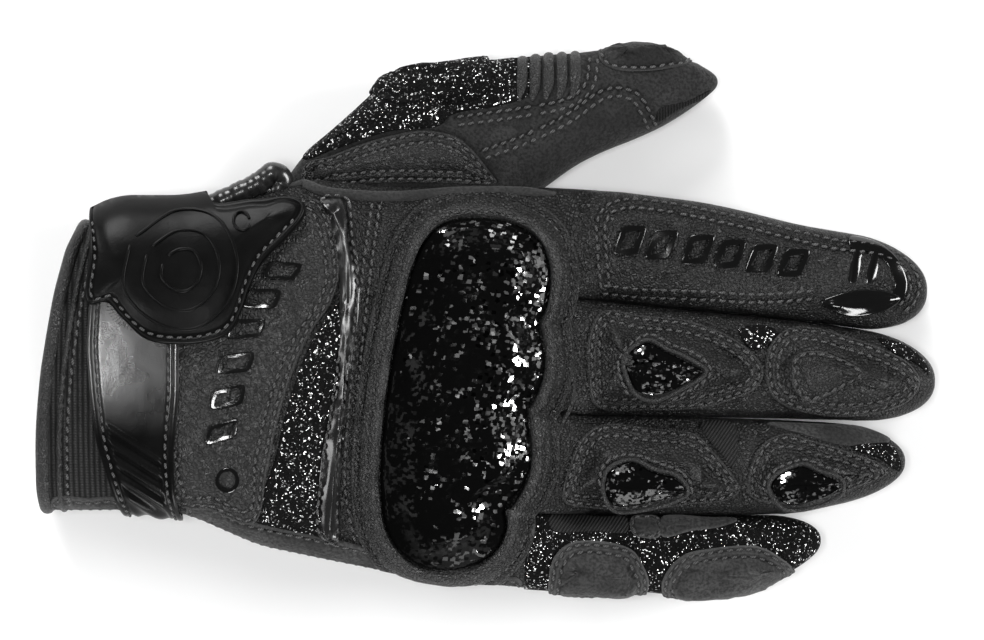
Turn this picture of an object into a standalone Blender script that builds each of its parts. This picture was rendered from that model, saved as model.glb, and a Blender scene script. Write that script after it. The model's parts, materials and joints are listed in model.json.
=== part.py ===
"""Right-hand short-cuff motorcycle glove, laid palm down.

The frame: +X runs from the cuff to the fingertips, +Y to the thumb, +Z out of the back of the hand.
The origin is the middle of the footprint, on the surface that the glove lies on.

Every design value is in millimetres and degrees. Meshes are made in metres.
"""
import math

import bmesh
import bpy
from mathutils import Vector

MM = 0.001

# ---- driving dimensions -------------------------------------------------------------------------
WALL = 1.6            # leather with its liner
GAP = 0.35            # clearance between touching pieces
ROUNDNESS = 2.7       # superellipse exponent of the hand, cuff and fingers
SEAM_ANGLE = 0.45     # half the gap between two panels round a tube
SIDE_ANGLE = 38.0     # where the side walls of the hand meet its back and palm

CUFF_MOUTH = -121.5   # the cuff's open end on the little-finger side
CUFF_SLANT = 9.0      # how much further forward it is on the thumb side
WRIST_X = -54.0       # wrist hinge
WRIST_Z = 15.5
WRIST_NOTCH_BACK = 2.0
WRIST_NOTCH_PALM = 4.4
KNUCKLE_Z = 7.5       # height of every finger hinge
PALM_FOLD = 6.4       # palm-side clearance each side of a finger hinge
KNUCKLE_X = 27.0      # knuckle line at the index and middle fingers
KNUCKLE_TURN_Y = -26.0
KNUCKLE_SLOPE = 12.0 / 51.0

PIPING_WIDTH = 4.6
PIPING_RISE = 2.0
LINING = 0.8          # thickness of the fleece and of each hook-and-loop tape
SEAM = 2 * SEAM_ANGLE
GUSSET_MIDDLE = 37.6  # y of the middle of the cone between the hand and the thumb

STRAP = (-111.0, -87.5)           # the strap's back and front edges
STRAP_THICKNESS = 1.2
BACKING = 1.0
TAB = 2.0
STRAP_HINGE = (-88.0, 34.4, 23.0)
TAB_ANGLES = (17.0, 86.5)         # tube angles of the moulded tab's hinged and free ends

# x, little-finger side y, thumb side y, underside z, top z
HAND = [
    (-57.0, -62.5, 35.0, 1.4, 31.0),
    (-40.0, -67.5, 35.0, 1.4, 30.5),
    (-10.0, -73.3, 36.3, 1.4, 29.5),
    (10.0, -75.0, 37.0, 1.4, 27.0),
    (28.0, -76.6, 36.6, 1.4, 24.0),
]
CUFF = [
    (-124.0, -51.0, 22.0, 2.0, 36.0),
    (-112.0, -51.3, 27.0, 2.0, 35.0),
    (-100.0, -51.5, 30.5, 2.0, 33.5),
    (-86.0, -52.5, 31.5, 2.0, 32.0),
    (-70.0, -57.0, 34.0, 1.7, 31.2),
    (-57.0, -62.5, 35.0, 1.4, 31.0),
]
# knuckle x and y, direction, length to the middle joint, whole length,
# half widths at the knuckle, middle joint and tip, heights there
FINGERS = {
    "index": ((27.6, 21.4), -7.7, 44.0, 95.3, (15.0, 14.0, 12.0), (22.0, 20.5, 17.5)),
    "middle": ((27.6, -10.4), -3.7, 48.0, 97.5, (14.4, 13.9, 12.0), (22.0, 20.5, 17.5)),
    "ring": ((24.0, -39.3), -0.6, 45.0, 92.4, (12.0, 11.8, 10.3), (21.0, 19.5, 17.0)),
    "little": ((18.0, -64.3), 2.1, 28.5, 74.4, (11.8, 11.4, 9.8), (20.0, 18.5, 16.0)),
}
THUMB = ((-22.0, 53.3), 9.5, 36.8, 86.4, (14.0, 15.6, 10.6), (21.0, 20.0, 15.5))
THUMB_FOLD = 3.0
THUMB_IP_FOLD = 4.6
THUMB_IP_GAP = 2.4    # half the gap between its two backs, which the ribs bridge
THUMB_RIB = 4.6
TIP_END = 0.15        # how far short of the rounded end's pole a digit's skin stops

OUTER = (-WALL, 0.0)  # offsets of a panel that forms the glove's surface
INNER = (-WALL - GAP - LINING, -WALL - GAP)

# outline of the hard knuckle guard, and its middle
GUARD_MIDDLE = (-7.0, -20.0)
GUARD = [
    (-12.2, 27.6), (2.4, 27.9), (13.0, 22.5), (16.1, 15.0), (15.5, 5.5), (13.0, -0.6), (14.7, -10.0),
    (13.6, -17.0), (9.9, -24.4), (10.7, -32.0), (10.5, -41.0), (8.0, -46.5), (3.8, -51.0), (4.0, -57.5),
    (0.7, -64.0), (-6.0, -67.8), (-14.4, -68.8), (-22.8, -66.0), (-29.0, -58.1), (-30.8, -46.0),
    (-29.6, -26.0), (-26.6, -6.0), (-22.5, 12.0), (-19.0, 21.5),
]

MATERIALS = {  # colour, roughness, metallic
    "leather": ((0.020, 0.020, 0.021), 0.55, 0.0),
    "suede": ((0.035, 0.035, 0.037), 0.90, 0.0),
    "carbon": ((0.010, 0.010, 0.011), 0.14, 0.0),
    "rubber": ((0.012, 0.012, 0.013), 0.38, 0.0),
    "gloss": ((0.008, 0.008, 0.009), 0.20, 0.0),
    "stretch": ((0.018, 0.018, 0.020), 0.80, 0.0),
    "lining": ((0.045, 0.045, 0.050), 0.95, 0.0),
    "foam": ((0.070, 0.070, 0.075), 0.95, 0.0),
}


# ---- curves and tubes ---------------------------------------------------------------------------
def curve_through(points):
    """A smooth function through (x, value) points that never overshoots between them."""
    steps = [(b[0] - a[0], (b[1] - a[1]) / (b[0] - a[0])) for a, b in zip(points, points[1:])]
    slopes = [steps[0][1]]
    for (_, before), (_, after) in zip(steps, steps[1:]):
        slopes.append(0.0 if before * after <= 0 else 2 * before * after / (before + after))
    slopes.append(steps[-1][1])

    def value(x):
        n = sum(1 for p in points[1:-1] if x > p[0])
        h = steps[n][0]
        t = min(1.0, max(0.0, (x - points[n][0]) / h))
        return (
            points[n][1] * (2 * t**3 - 3 * t**2 + 1)
            + points[n + 1][1] * (3 * t**2 - 2 * t**3)
            + h * slopes[n] * (t**3 - 2 * t**2 + t)
            + h * slopes[n + 1] * (t**3 - t**2)
        )

    return value


def power(value, exponent):
    return math.copysign(abs(value) ** exponent, value)


class Tube:
    """A superellipse swept along a straight line, with a rounded far end if cap is given.

    Angle 0 is the thumb side, 90 the back, 180 the little-finger side and 270 the palm side.
    """

    def __init__(self, stations, at=(0.0, 0.0), turn=0.0, cap=None, length=None):
        self.sides = [curve_through([(s[0], s[i]) for s in stations]) for i in range(1, 5)]
        self.at, self.turn, self.cap, self.length = at, math.radians(turn), cap, length

    def place(self, t, across, z):
        c, s = math.cos(self.turn), math.sin(self.turn)
        return Vector((self.at[0] + t * c - across * s, self.at[1] + t * s + across * c, z))

    def section(self, t, off):
        low_y, high_y, low_z, high_z = [side(t) for side in self.sides]
        shrink = 1.0
        if self.cap and t > self.length - self.cap:
            shrink = math.sqrt(max(0.0, 1 - ((t - self.length + self.cap) / (self.cap + off)) ** 2))
        across, up = ((high_y - low_y) / 2 + off) * shrink, ((high_z - low_z) / 2 + off) * shrink
        return (low_y + high_y) / 2, (low_z + high_z) / 2, across, up

    def point(self, t, angle, off):
        mid_y, mid_z, across, up = self.section(t, off)
        c, s = math.cos(math.radians(angle)), math.sin(math.radians(angle))
        y = mid_y + across * power(c, 2 / ROUNDNESS)
        return self.place(t, y, mid_z + up * power(s, 2 / ROUNDNESS))

    def across_at(self, t, angle):
        mid_y, _, across, _ = self.section(t, 0.0)
        return mid_y + across * power(math.cos(math.radians(angle)), 2 / ROUNDNESS)

    def top(self, x, y):
        """Height of the upper surface over a point of a tube that lies along X."""
        mid_y, mid_z, across, up = self.section(x, 0.0)
        share = min(0.999, abs((y - mid_y) / across))
        return mid_z + up * (1 - share**ROUNDNESS) ** (1 / ROUNDNESS)


class GussetTube(Tube):
    """A tube whose middle is moved to the hand's side, so that only its outer half is used."""

    def section(self, t, off):
        mid_y, mid_z, across, up = super().section(t, off)
        return GUSSET_MIDDLE, mid_z, mid_y + across - GUSSET_MIDDLE, up


def knuckle_line(y):
    """x of the line where the fingers meet the hand."""
    return KNUCKLE_X - KNUCKLE_SLOPE * max(0.0, KNUCKLE_TURN_Y - y)


def finger_tube(spec):
    at, turn, joint, length, widths, heights = spec
    ends = (-6.0, joint, length)
    stations = [(t, -w, w, 0.0, h) for t, w, h in zip(ends, widths, heights)]
    return Tube(stations, at, turn, cap=widths[2] * 1.15, length=length)


# ---- objects ------------------------------------------------------------------------------------
def clear_scene():
    for obj in list(bpy.data.objects):
        bpy.data.objects.remove(obj, do_unlink=True)


def make_materials():
    made = {}
    for name, (colour, roughness, metallic) in MATERIALS.items():
        material = bpy.data.materials.new(name)
        material.use_nodes = True
        shader = material.node_tree.nodes["Principled BSDF"]
        shader.inputs["Base Color"].default_value = (*colour, 1.0)
        shader.inputs["Roughness"].default_value = roughness
        shader.inputs["Metallic"].default_value = metallic
        made[name] = material
    return made


class Body:
    """An empty on a joint's axis, which carries the pieces that turn with it."""

    def __init__(self, name, at, parent=None):
        self.at = Vector(at)
        self.empty = bpy.data.objects.new(name + "_axis", None)
        bpy.context.scene.collection.objects.link(self.empty)
        self.empty.empty_display_size = 0.01
        if parent:
            self.empty.parent = parent.empty
        self.empty.location = (self.at - (parent.at if parent else Vector())) * MM


def add_piece(name, mesh_data, body, material):
    """A named object on a body, from a bmesh whose points are world millimetres."""
    bmesh.ops.remove_doubles(mesh_data, verts=mesh_data.verts, dist=0.002)
    bmesh.ops.recalc_face_normals(mesh_data, faces=mesh_data.faces)
    for vert in mesh_data.verts:
        vert.co = (vert.co - body.at) * MM
    mesh = bpy.data.meshes.new(name)
    mesh_data.to_mesh(mesh)
    mesh_data.free()
    mesh.materials.append(MADE[material])
    mesh.shade_smooth()
    mesh.set_sharp_from_angle(angle=math.radians(40))
    obj = bpy.data.objects.new(name, mesh)
    bpy.context.scene.collection.objects.link(obj)
    obj.parent = body.empty
    return obj


def plate(name, body, material, outer, inner, steps):
    """A closed plate between two surfaces, each a function of u and v from 0 to 1."""
    across, along = steps
    bm = bmesh.new()
    layers = []
    for surface in (outer, inner):
        layers.append([
            [bm.verts.new(surface(i / across, j / along)) for j in range(along + 1)]
            for i in range(across + 1)
        ])
    top, under = layers
    for i in range(across):
        for j in range(along):
            bm.faces.new((top[i][j], top[i + 1][j], top[i + 1][j + 1], top[i][j + 1]))
            bm.faces.new((under[i][j], under[i][j + 1], under[i + 1][j + 1], under[i + 1][j]))
    for i in range(across):
        bm.faces.new((top[i][0], under[i][0], under[i + 1][0], top[i + 1][0]))
        bm.faces.new((top[i][along], top[i + 1][along], under[i + 1][along], under[i][along]))
    for j in range(along):
        bm.faces.new((top[0][j], top[0][j + 1], under[0][j + 1], under[0][j]))
        bm.faces.new((top[across][j], under[across][j], under[across][j + 1], top[across][j + 1]))
    return add_piece(name, bm, body, material)


def tube_plate(name, body, material, tube, angles, start, end, offs, steps):
    """A panel of a tube between two angles, from start(angle) to end(angle), between two offsets."""
    first, last = angles

    def surface(off):
        def at(u, v):
            angle = first + (last - first) * u
            low, high = start(angle), end(angle)
            if tube.cap and high > tube.length - 0.2:
                high += off
            return tube.point(low + (high - low) * along(v, high), angle, off)
        return at

    def along(v, high):
        """Even steps, drawn together towards a rounded end."""
        return math.sin(v * math.pi / 2) ** 0.9 if tube.cap and high > tube.length - 2 else v

    return plate(name, body, material, surface(offs[1]), surface(offs[0]), steps)


def steady(value):
    return lambda angle: value


def smooth_outline(points, count):
    """Points evenly spread on a closed Catmull-Rom curve."""
    made = []
    n = len(points)
    for k in range(count):
        place = k * n / count
        i, t = int(place), place - int(place)
        p = [Vector(points[(i + j - 1) % n]) for j in range(4)]
        made.append(
            (2 * p[1] + (p[2] - p[0]) * t + (2 * p[0] - 5 * p[1] + 4 * p[2] - p[3]) * t**2
             + (3 * p[1] - p[0] - 3 * p[2] + p[3]) * t**3) / 2
        )
    return made


def as_drawn(x, y, z):
    return Vector((x, y, z))


def dome(name, body, material, outline, middle, top, under, rings, place=as_drawn):
    """A closed cap over an outline: top(x, y, share) and under(x, y, share), share 0 at the middle."""
    bm = bmesh.new()
    layers = []
    for height in (top, under):
        layer = [[bm.verts.new(place(*middle, height(*middle, 0.0)))] * len(outline)]
        for share in rings:
            ring = []
            for p in outline:
                x = middle[0] + (p[0] - middle[0]) * share
                y = middle[1] + (p[1] - middle[1]) * share
                ring.append(bm.verts.new(place(x, y, height(x, y, share))))
            layer.append(ring)
        layers.append(layer)
    count = len(outline)
    for flip, layer in enumerate(layers):
        for low, high in zip(layer, layer[1:]):
            for k in range(count):
                m = (k + 1) % count
                corners = [low[k], high[k], high[m], low[m]]
                corners = [v for n, v in enumerate(corners) if v not in corners[:n]]
                bm.faces.new(corners[::-1] if flip else corners)
    for k in range(count):
        m = (k + 1) % count
        bm.faces.new((layers[0][-1][k], layers[1][-1][k], layers[1][-1][m], layers[0][-1][m]))
    return add_piece(name, bm, body, material)


def roll(name, body, material, path, radii, sides=8):
    """A closed round cord of varying radius along a path, with flat ends."""
    bm = bmesh.new()
    rings = []
    for n, (centre, radius) in enumerate(zip(path, radii)):
        ahead = (path[min(n + 1, len(path) - 1)] - path[max(n - 1, 0)]).normalized()
        side = ahead.cross(Vector((0, 0, 1))).normalized()
        up = side.cross(ahead)
        rings.append([
            bm.verts.new(centre + radius * (math.cos(a) * side + math.sin(a) * up))
            for a in (2 * math.pi * k / sides for k in range(sides))
        ])
    for low, high in zip(rings, rings[1:]):
        for k in range(sides):
            m = (k + 1) % sides
            bm.faces.new((low[k], low[m], high[m], high[k]))
    bm.faces.new(rings[0][::-1])
    bm.faces.new(rings[-1])
    return add_piece(name, bm, body, material)


# ---- the hand -----------------------------------------------------------------------------------
def wrist_edge(angle, side):
    """x of the edge at the wrist fold, on the cuff's side (-1) or the hand's (+1)."""
    palm_share = (1 - math.sin(math.radians(angle))) / 2
    return WRIST_X + side * (WRIST_NOTCH_BACK + (WRIST_NOTCH_PALM - WRIST_NOTCH_BACK) * palm_share)


def make_hand(body, tube):
    edge = SIDE_ANGLE
    back, palm = (edge, 180 - edge), (180 + edge, 360 - edge)

    def knuckle_edge(angle):
        return knuckle_line(tube.across_at(20.0, angle)) - GAP

    def palm_edge(angle):
        return knuckle_line(tube.across_at(20.0, angle)) - PALM_FOLD - 3.6

    def piping_rear(angle):
        """Rear edge of the piping: a bow that lies furthest forward over the middle of the hand."""
        return -49.0 + 7.5 * math.sin(math.radians(angle * 1.15)) ** 2

    def piping_front(angle):
        return piping_rear(angle) + PIPING_WIDTH

    def wrist_fold(angle):
        return wrist_edge(angle, 1)

    def little_side_front(angle):
        return min(knuckle_edge(angle), palm_edge(angle) + 10 * (angle < 181)) - 0.3

    def index_side_front(angle):
        return KNUCKLE_X - GAP - (PALM_FOLD + 3.0) * (angle < -1)

    def plate_on(name, material, angles, start, end, offs, steps):
        tube_plate(name, body, material, tube, angles, start, end, offs, steps)

    plate_on("stretch_panel", "stretch", back, wrist_fold, lambda a: piping_rear(a) - GAP, OUTER, (12, 1))
    plate_on("wrist_piping", "gloss", back, piping_rear, piping_front, (-WALL, PIPING_RISE), (14, 2))
    plate_on("back_panel", "leather", back, lambda a: piping_front(a) + GAP, knuckle_edge, OUTER, (14, 8))
    plate_on("palm_panel", "suede", palm, wrist_fold, palm_edge, OUTER, (12, 6))
    sides = (180 - edge + SEAM, 180 + edge - SEAM)
    plate_on("little_side_panel", "leather", sides, wrist_fold, little_side_front, OUTER, (8, 6))
    sides = (-edge + SEAM, edge - SEAM)
    plate_on("index_side_panel", "suede", sides, steady(THUMB[0][0] + 4.0), index_side_front, OUTER, (8, 6))
    plate_on("hand_lining_back", "lining", (edge + 6, 174 - edge), steady(-40.0),
             lambda a: knuckle_edge(a) - 4, INNER, (10, 6))
    plate_on("hand_lining_palm", "lining", (186 + edge, 354 - edge), steady(-44.0),
             lambda a: palm_edge(a) - 4, INNER, (10, 5))
    make_guard(body, tube)
    make_palm_pads(body)


def scaled(outline, long, wide):
    """The outline drawn larger or smaller about the guard's middle."""
    x, y = GUARD_MIDDLE
    return [(x + (p.x - x) * long, y + (p.y - y) * wide) for p in outline]


def make_guard(body, tube):
    outline = smooth_outline(GUARD, 32)
    rise, pad, clear, shell = 6.6, 2.6, 0.9, 2.0
    rings = (0.4, 0.7, 0.9, 1.0)

    def over(extra):
        """A height function that lies extra(share) above the hand."""
        return lambda x, y, share: tube.top(x, y) + extra(share)

    def crown(share):
        return rise * (1 - share**3.2) ** 0.75 + 1.0

    def hollow(share):
        return pad + clear + (max(0.0, crown(share) - shell) if share < 0.99 else 0.0)

    dome("knuckle_surround", body, "leather", scaled(outline, 1.30, 1.045), GUARD_MIDDLE,
         over(steady(pad)), over(steady(clear)), rings)
    dome("knuckle_guard", body, "carbon", outline, GUARD_MIDDLE,
         over(lambda share: pad + clear + crown(share)), over(hollow), rings)
    dome("knuckle_foam", body, "foam", scaled(outline, 0.86, 0.88), GUARD_MIDDLE,
         over(lambda share: pad + clear + max(0.6, (crown(share * 0.9) - 3.4) * 0.8)),
         over(steady(pad + clear)), rings)


def flat_pad(name, body, material, outline, low, high):
    """A flat pad of an outline, with a plane underside."""
    bm = bmesh.new()
    face = bm.faces.new([bm.verts.new((x, y, high)) for x, y in outline])
    grown = bmesh.ops.extrude_face_region(bm, geom=[face])["geom"]
    for vert in (g for g in grown if isinstance(g, bmesh.types.BMVert)):
        vert.co.z = low
    return add_piece(name, bm, body, material)


def ellipse(x, y, long, wide, turn, count=20):
    c, s = math.cos(math.radians(turn)), math.sin(math.radians(turn))
    points = []
    for k in range(count):
        a = 2 * math.pi * k / count
        u, v = long * power(math.cos(a), 0.8), wide * power(math.sin(a), 0.8)
        points.append((x + u * c - v * s, y + u * s + v * c))
    return points


def make_palm_pads(body):
    """The palm-heel slider and the grip patch, whose plane undersides the glove lies on."""
    flat_pad("palm_slider", body, "rubber", ellipse(-26, -43, 17, 11, 8), 0.0, 1.0)
    flat_pad("palm_grip_patch", body, "suede", ellipse(-6, -14, 15, 14, 0), 0.0, 1.0)


def make_thumb_gusset(body):
    """The leather cone that leads from the hand's side into the thumb."""
    tube = GussetTube([
        (-51.0, 36.4, 43.5, 1.0, 19.0),
        (-36.0, 36.4, 58.0, 0.8, 21.5),
        (-22.0, 36.4, 67.2, 0.6, 21.5),
    ])

    def front(angle):
        return THUMB[0][0] - GAP - 1.4 - 1.6 * (angle < 0)

    tube_plate("thumb_gusset", body, "leather", tube, (-89.0, 89.0), steady(-50.0), front, OUTER, (14, 5))


# ---- the cuff and its strap ---------------------------------------------------------------------
def make_cuff(body, tube):
    edge = SIDE_ANGLE
    over_skin = 2 * GAP + 1.3

    def mouth(angle):
        return CUFF_MOUTH + CUFF_SLANT * (1 + math.cos(math.radians(angle))) / 2

    def fold(angle):
        return wrist_edge(angle, -1)

    def plate_on(name, material, angles, start, end, offs, steps):
        tube_plate(name, body, material, tube, angles, start, end, offs, steps)

    plate_on("cuff_back", "stretch", (edge, 180 - edge), mouth, fold, OUTER, (12, 5))
    plate_on("cuff_palm", "leather", (180 + edge, 360 - edge), mouth, fold, OUTER, (12, 5))
    sides = (180 - edge + SEAM, 180 + edge - SEAM)
    plate_on("cuff_little_side", "leather", sides, mouth, fold, OUTER, (6, 5))
    sides = (-edge + SEAM, edge - SEAM)
    plate_on("cuff_thumb_side", "leather", sides, mouth, fold, OUTER, (6, 5))
    plate_on("wrist_panel", "leather", (edge - 8, 186 - edge), steady(STRAP[1] + 1.0),
             lambda a: fold(a) - 1.0, (GAP, GAP + 1.1), (12, 4))
    plate_on("strap_band", "gloss", (-24.0, 204.0), steady(STRAP[0]), steady(STRAP[1]),
             (GAP + 0.2, GAP + 0.2 + STRAP_THICKNESS), (18, 3))
    plate_on("strap_anchor", "gloss", (230.0, 310.0), steady(STRAP[0]), steady(STRAP[1]),
             (GAP, GAP + 1.3), (8, 2))
    make_binding(body, tube, mouth)
    plate_on("loop_pad", "lining", (44.0, 82.0), steady(STRAP[0] + 4), steady(STRAP[1] - 3),
             (over_skin, over_skin + LINING), (5, 1))
    path = [(-80, 34.4, 13), (-73, 37.6, 14), (-66, 41.0, 14.5), (-60, 42.6, 13.5), (-57.6, 41.2, 12.0)]
    roll("gusset_binding", body, "gloss", [Vector(p) for p in path], (1.6, 2.1, 2.4, 2.4, 2.0))


def make_binding(body, tube, mouth):
    """The padded roll sewn round the cuff's open end."""
    around, sides, radius = 28, 6, 2.0

    def at(i, j):
        angle, turn = 360.0 * i / around, 2 * math.pi * j / sides
        t = mouth(angle) - GAP + 2.1 * (math.cos(turn) - 1)
        return tube.point(t, angle, -WALL / 2 + radius * math.sin(turn))

    bm = bmesh.new()
    rings = [[bm.verts.new(at(i, j)) for j in range(sides)] for i in range(around)]
    for i in range(around):
        for j in range(sides):
            n, m = (i + 1) % around, (j + 1) % sides
            bm.faces.new((rings[i][j], rings[n][j], rings[n][m], rings[i][m]))
    add_piece("cuff_binding", bm, body, "leather")


def make_flap(body, tube):
    """The flap that closes the strap: a moulded tab on a backing, with hook tape under its free half."""
    lift = 3 * GAP + 1.3 + LINING
    rear = curve_through([(17, -110.0), (40, -112.0), (76, -112.0), (81, -104.0), (86.5, -95.0)])
    front = curve_through([(17, -51.0), (40, -57.0), (58, -63.5), (72, -69.0), (81, -72.0), (86.5, -79.0)])
    tube_plate("hook_pad", body, "lining", tube, (46.0, 78.0), steady(STRAP[0] + 4), steady(STRAP[1] - 3),
               (lift, lift + LINING), (5, 1))
    lift += LINING + GAP
    tube_plate("strap_backing", body, "gloss", tube, TAB_ANGLES, lambda a: rear(a) + 1.5,
               lambda a: front(a) - 1.5, (lift, lift + BACKING), (10, 3))
    lift += BACKING + GAP
    tube_plate("strap_tab", body, "rubber", tube, TAB_ANGLES, rear, front, (lift, lift + TAB), (12, 5))


# ---- fingers and thumb --------------------------------------------------------------------------
BACK_HALF, PALM_HALF = (0.0, 180.0), (180.0, 360.0)


def digit_half(name, body, material, tube, angles, start, end, steps):
    """The back or palm half of a digit's hollow stall."""
    seams = (angles[0] + SEAM_ANGLE, angles[1] - SEAM_ANGLE)
    tube_plate(name, body, material, tube, seams, start, end, OUTER, steps)


def make_finger(name, spec, base, tip):
    at, turn, joint, length = spec[:4]
    tube = finger_tube(spec)
    c, s = math.cos(math.radians(turn)), math.sin(math.radians(turn))

    def root(angle):
        """The base's rear edge, which follows the knuckle line."""
        across = tube.across_at(0.0, angle)
        return (knuckle_line(at[1] + across * c) + GAP + 0.4 - at[0] + across * s) / c

    end = steady(length - TIP_END)
    before, after = steady(joint - GAP / 2), steady(joint + GAP / 2)
    folds = steady(PALM_FOLD), steady(joint - PALM_FOLD), steady(joint + PALM_FOLD)
    digit_half(name + "_base_back", base, "leather", tube, BACK_HALF, root, before, (10, 4))
    digit_half(name + "_base_palm", base, "suede", tube, PALM_HALF, folds[0], folds[1], (10, 3))
    digit_half(name + "_tip_back", tip, "leather", tube, BACK_HALF, after, end, (10, 6))
    digit_half(name + "_tip_palm", tip, "suede", tube, PALM_HALF, folds[2], end, (10, 5))
    return tube


def insert(name, body, material, tube, t, long, wide, rise, pointed=0.5):
    """A raised teardrop on a finger's back: round at the rear, drawn to a point ahead."""
    outline = []
    for k in range(20):
        a = 2 * math.pi * k / 20
        slim = 1 - pointed * (0.5 + 0.5 * math.cos(a)) ** 1.5
        outline.append((t + long * math.cos(a), wide * math.sin(a) * slim))

    def height(extra):
        def at(u, across, share):
            mid_y, mid_z, half, up = tube.section(u, 0.0)
            level = mid_z + up * (1 - min(0.99, abs(across / half)) ** ROUNDNESS) ** (1 / ROUNDNESS)
            return level + GAP + extra * (1 - 0.75 * share**2)
        return at

    dome(name, body, material, outline, (t, 0.0), height(rise), height(0.0), (0.6, 1.0), tube.place)


def make_digits(hand):
    made = {}
    for name, spec in FINGERS.items():
        at, turn, joint = spec[:3]
        along = Vector((math.cos(math.radians(turn)), math.sin(math.radians(turn)), 0))
        pivot = Vector((*at, KNUCKLE_Z))
        base = Body(name + "_base", pivot, hand)
        tip = Body(name + "_tip", pivot + along * joint, base)
        made[name] = (base, tip, make_finger(name, spec, base, tip))
    return made


def make_inserts(digits):
    base, tip, tube = digits["middle"]
    insert("middle_base_insert", base, "carbon", tube, 21.0, 11.0, 6.6, 2.4)
    insert("middle_tip_pad", tip, "leather", tube, 66.0, 11.5, 7.6, 1.9)
    base, tip, tube = digits["ring"]
    insert("ring_base_insert", base, "carbon", tube, 19.0, 11.5, 5.8, 2.4)
    insert("ring_tip_insert", tip, "carbon", tube, 63.0, 11.0, 5.4, 2.2)
    base, tip, tube = digits["index"]
    insert("index_base_pad", base, "leather", tube, 20.0, 14.0, 9.0, 1.2, 0.1)
    insert("index_tip_insert", tip, "gloss", tube, 74.0, 10.0, 4.8, 0.8, 0.3)


def make_little_pads(digits):
    """The suede scuff pads on the little finger's outer side."""
    base, tip, tube = digits["little"]
    tube_plate("little_base_pad", base, "suede", tube, (165.0, 205.0), steady(6.6), steady(24.0),
               (GAP, GAP + 1.1), (5, 3))
    tube_plate("little_tip_pad", tip, "suede", tube, (160.0, 205.0), steady(33.0), steady(60.0),
               (GAP, GAP + 1.3), (5, 5))


def make_thumb(hand):
    at, turn, joint, length = THUMB[:4]
    along = Vector((math.cos(math.radians(turn)), math.sin(math.radians(turn)), 0))
    pivot = Vector((*at, KNUCKLE_Z))
    base = Body("thumb_base", pivot, hand)
    tip = Body("thumb_tip", pivot + along * joint, base)
    tube = finger_tube(THUMB)
    end = steady(length - TIP_END)
    before, after = steady(joint - THUMB_IP_GAP), steady(joint + THUMB_IP_GAP)
    folds = steady(THUMB_FOLD), steady(joint - THUMB_IP_FOLD), steady(joint + THUMB_IP_FOLD)
    digit_half("thumb_base_back", base, "leather", tube, BACK_HALF, steady(GAP + 0.3), before, (10, 4))
    digit_half("thumb_base_palm", base, "suede", tube, PALM_HALF, folds[0], folds[1], (10, 3))
    digit_half("thumb_tip_back", tip, "leather", tube, BACK_HALF, after, end, (10, 6))
    digit_half("thumb_tip_palm", tip, "suede", tube, PALM_HALF, folds[2], end, (10, 5))
    insert("thumb_knuckle_pad", base, "stretch", tube, 12.0, 10.0, 7.0, 2.6, 0.1)
    ribs = (("thumb_rib_base", base, joint - 7.4), ("thumb_rib_tip", tip, joint + 2.8))
    for name, body, first in ribs:
        tube_plate(name, body, "stretch", tube, (35.0, 145.0), steady(first), steady(first + THUMB_RIB),
                   (GAP, GAP + 1.5), (10, 2))
    tube_plate("thumb_nail_pad", tip, "leather", tube, (60.0, 120.0), steady(joint + 22.0),
               steady(joint + 36.0), (GAP, GAP + 1.2), (6, 4))


def build():
    hand_tube, cuff_tube = Tube(HAND), Tube(CUFF)
    hand = Body("hand", (0, 0, 0))
    make_hand(hand, hand_tube)
    make_thumb_gusset(hand)
    cuff = Body("cuff", (WRIST_X, 0, WRIST_Z), hand)
    make_cuff(cuff, cuff_tube)
    make_flap(Body("strap_flap", STRAP_HINGE, cuff), cuff_tube)
    digits = make_digits(hand)
    make_inserts(digits)
    make_little_pads(digits)
    make_thumb(hand)


clear_scene()
MADE = make_materials()
build()
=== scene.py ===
"""The looks of a short-cuff leather riding glove, laid palm down with the fingers along +X.

Leather skins, padded panels, a carbon knuckle guard, a moulded wrist strap and real stitches are built
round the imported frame. Lengths are in millimetres until a mesh is made, and the frame is in metres.
"""

import json
import math

import bpy
import numpy as np
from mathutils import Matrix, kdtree

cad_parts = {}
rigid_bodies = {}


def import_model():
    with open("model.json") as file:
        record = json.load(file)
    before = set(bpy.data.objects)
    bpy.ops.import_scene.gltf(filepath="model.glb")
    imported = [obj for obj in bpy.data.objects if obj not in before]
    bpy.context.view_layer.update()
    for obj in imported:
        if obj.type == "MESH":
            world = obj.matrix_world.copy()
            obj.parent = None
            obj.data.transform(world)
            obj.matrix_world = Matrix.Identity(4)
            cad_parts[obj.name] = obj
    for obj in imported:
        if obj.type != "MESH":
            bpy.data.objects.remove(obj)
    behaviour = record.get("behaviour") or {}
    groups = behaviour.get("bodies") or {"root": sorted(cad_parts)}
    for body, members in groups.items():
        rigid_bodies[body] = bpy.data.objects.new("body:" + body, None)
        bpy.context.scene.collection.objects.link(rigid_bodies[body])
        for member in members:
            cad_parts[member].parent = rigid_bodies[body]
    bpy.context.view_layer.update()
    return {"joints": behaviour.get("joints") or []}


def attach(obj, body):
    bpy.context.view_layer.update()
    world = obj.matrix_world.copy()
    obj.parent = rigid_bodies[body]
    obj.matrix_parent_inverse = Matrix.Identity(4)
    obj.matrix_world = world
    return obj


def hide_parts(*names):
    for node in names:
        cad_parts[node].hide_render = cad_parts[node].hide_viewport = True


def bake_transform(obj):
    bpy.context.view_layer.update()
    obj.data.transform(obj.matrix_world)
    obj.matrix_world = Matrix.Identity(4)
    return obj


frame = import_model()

MM = 0.001
JOINTS = {joint["name"]: joint for joint in frame["joints"]}

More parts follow.
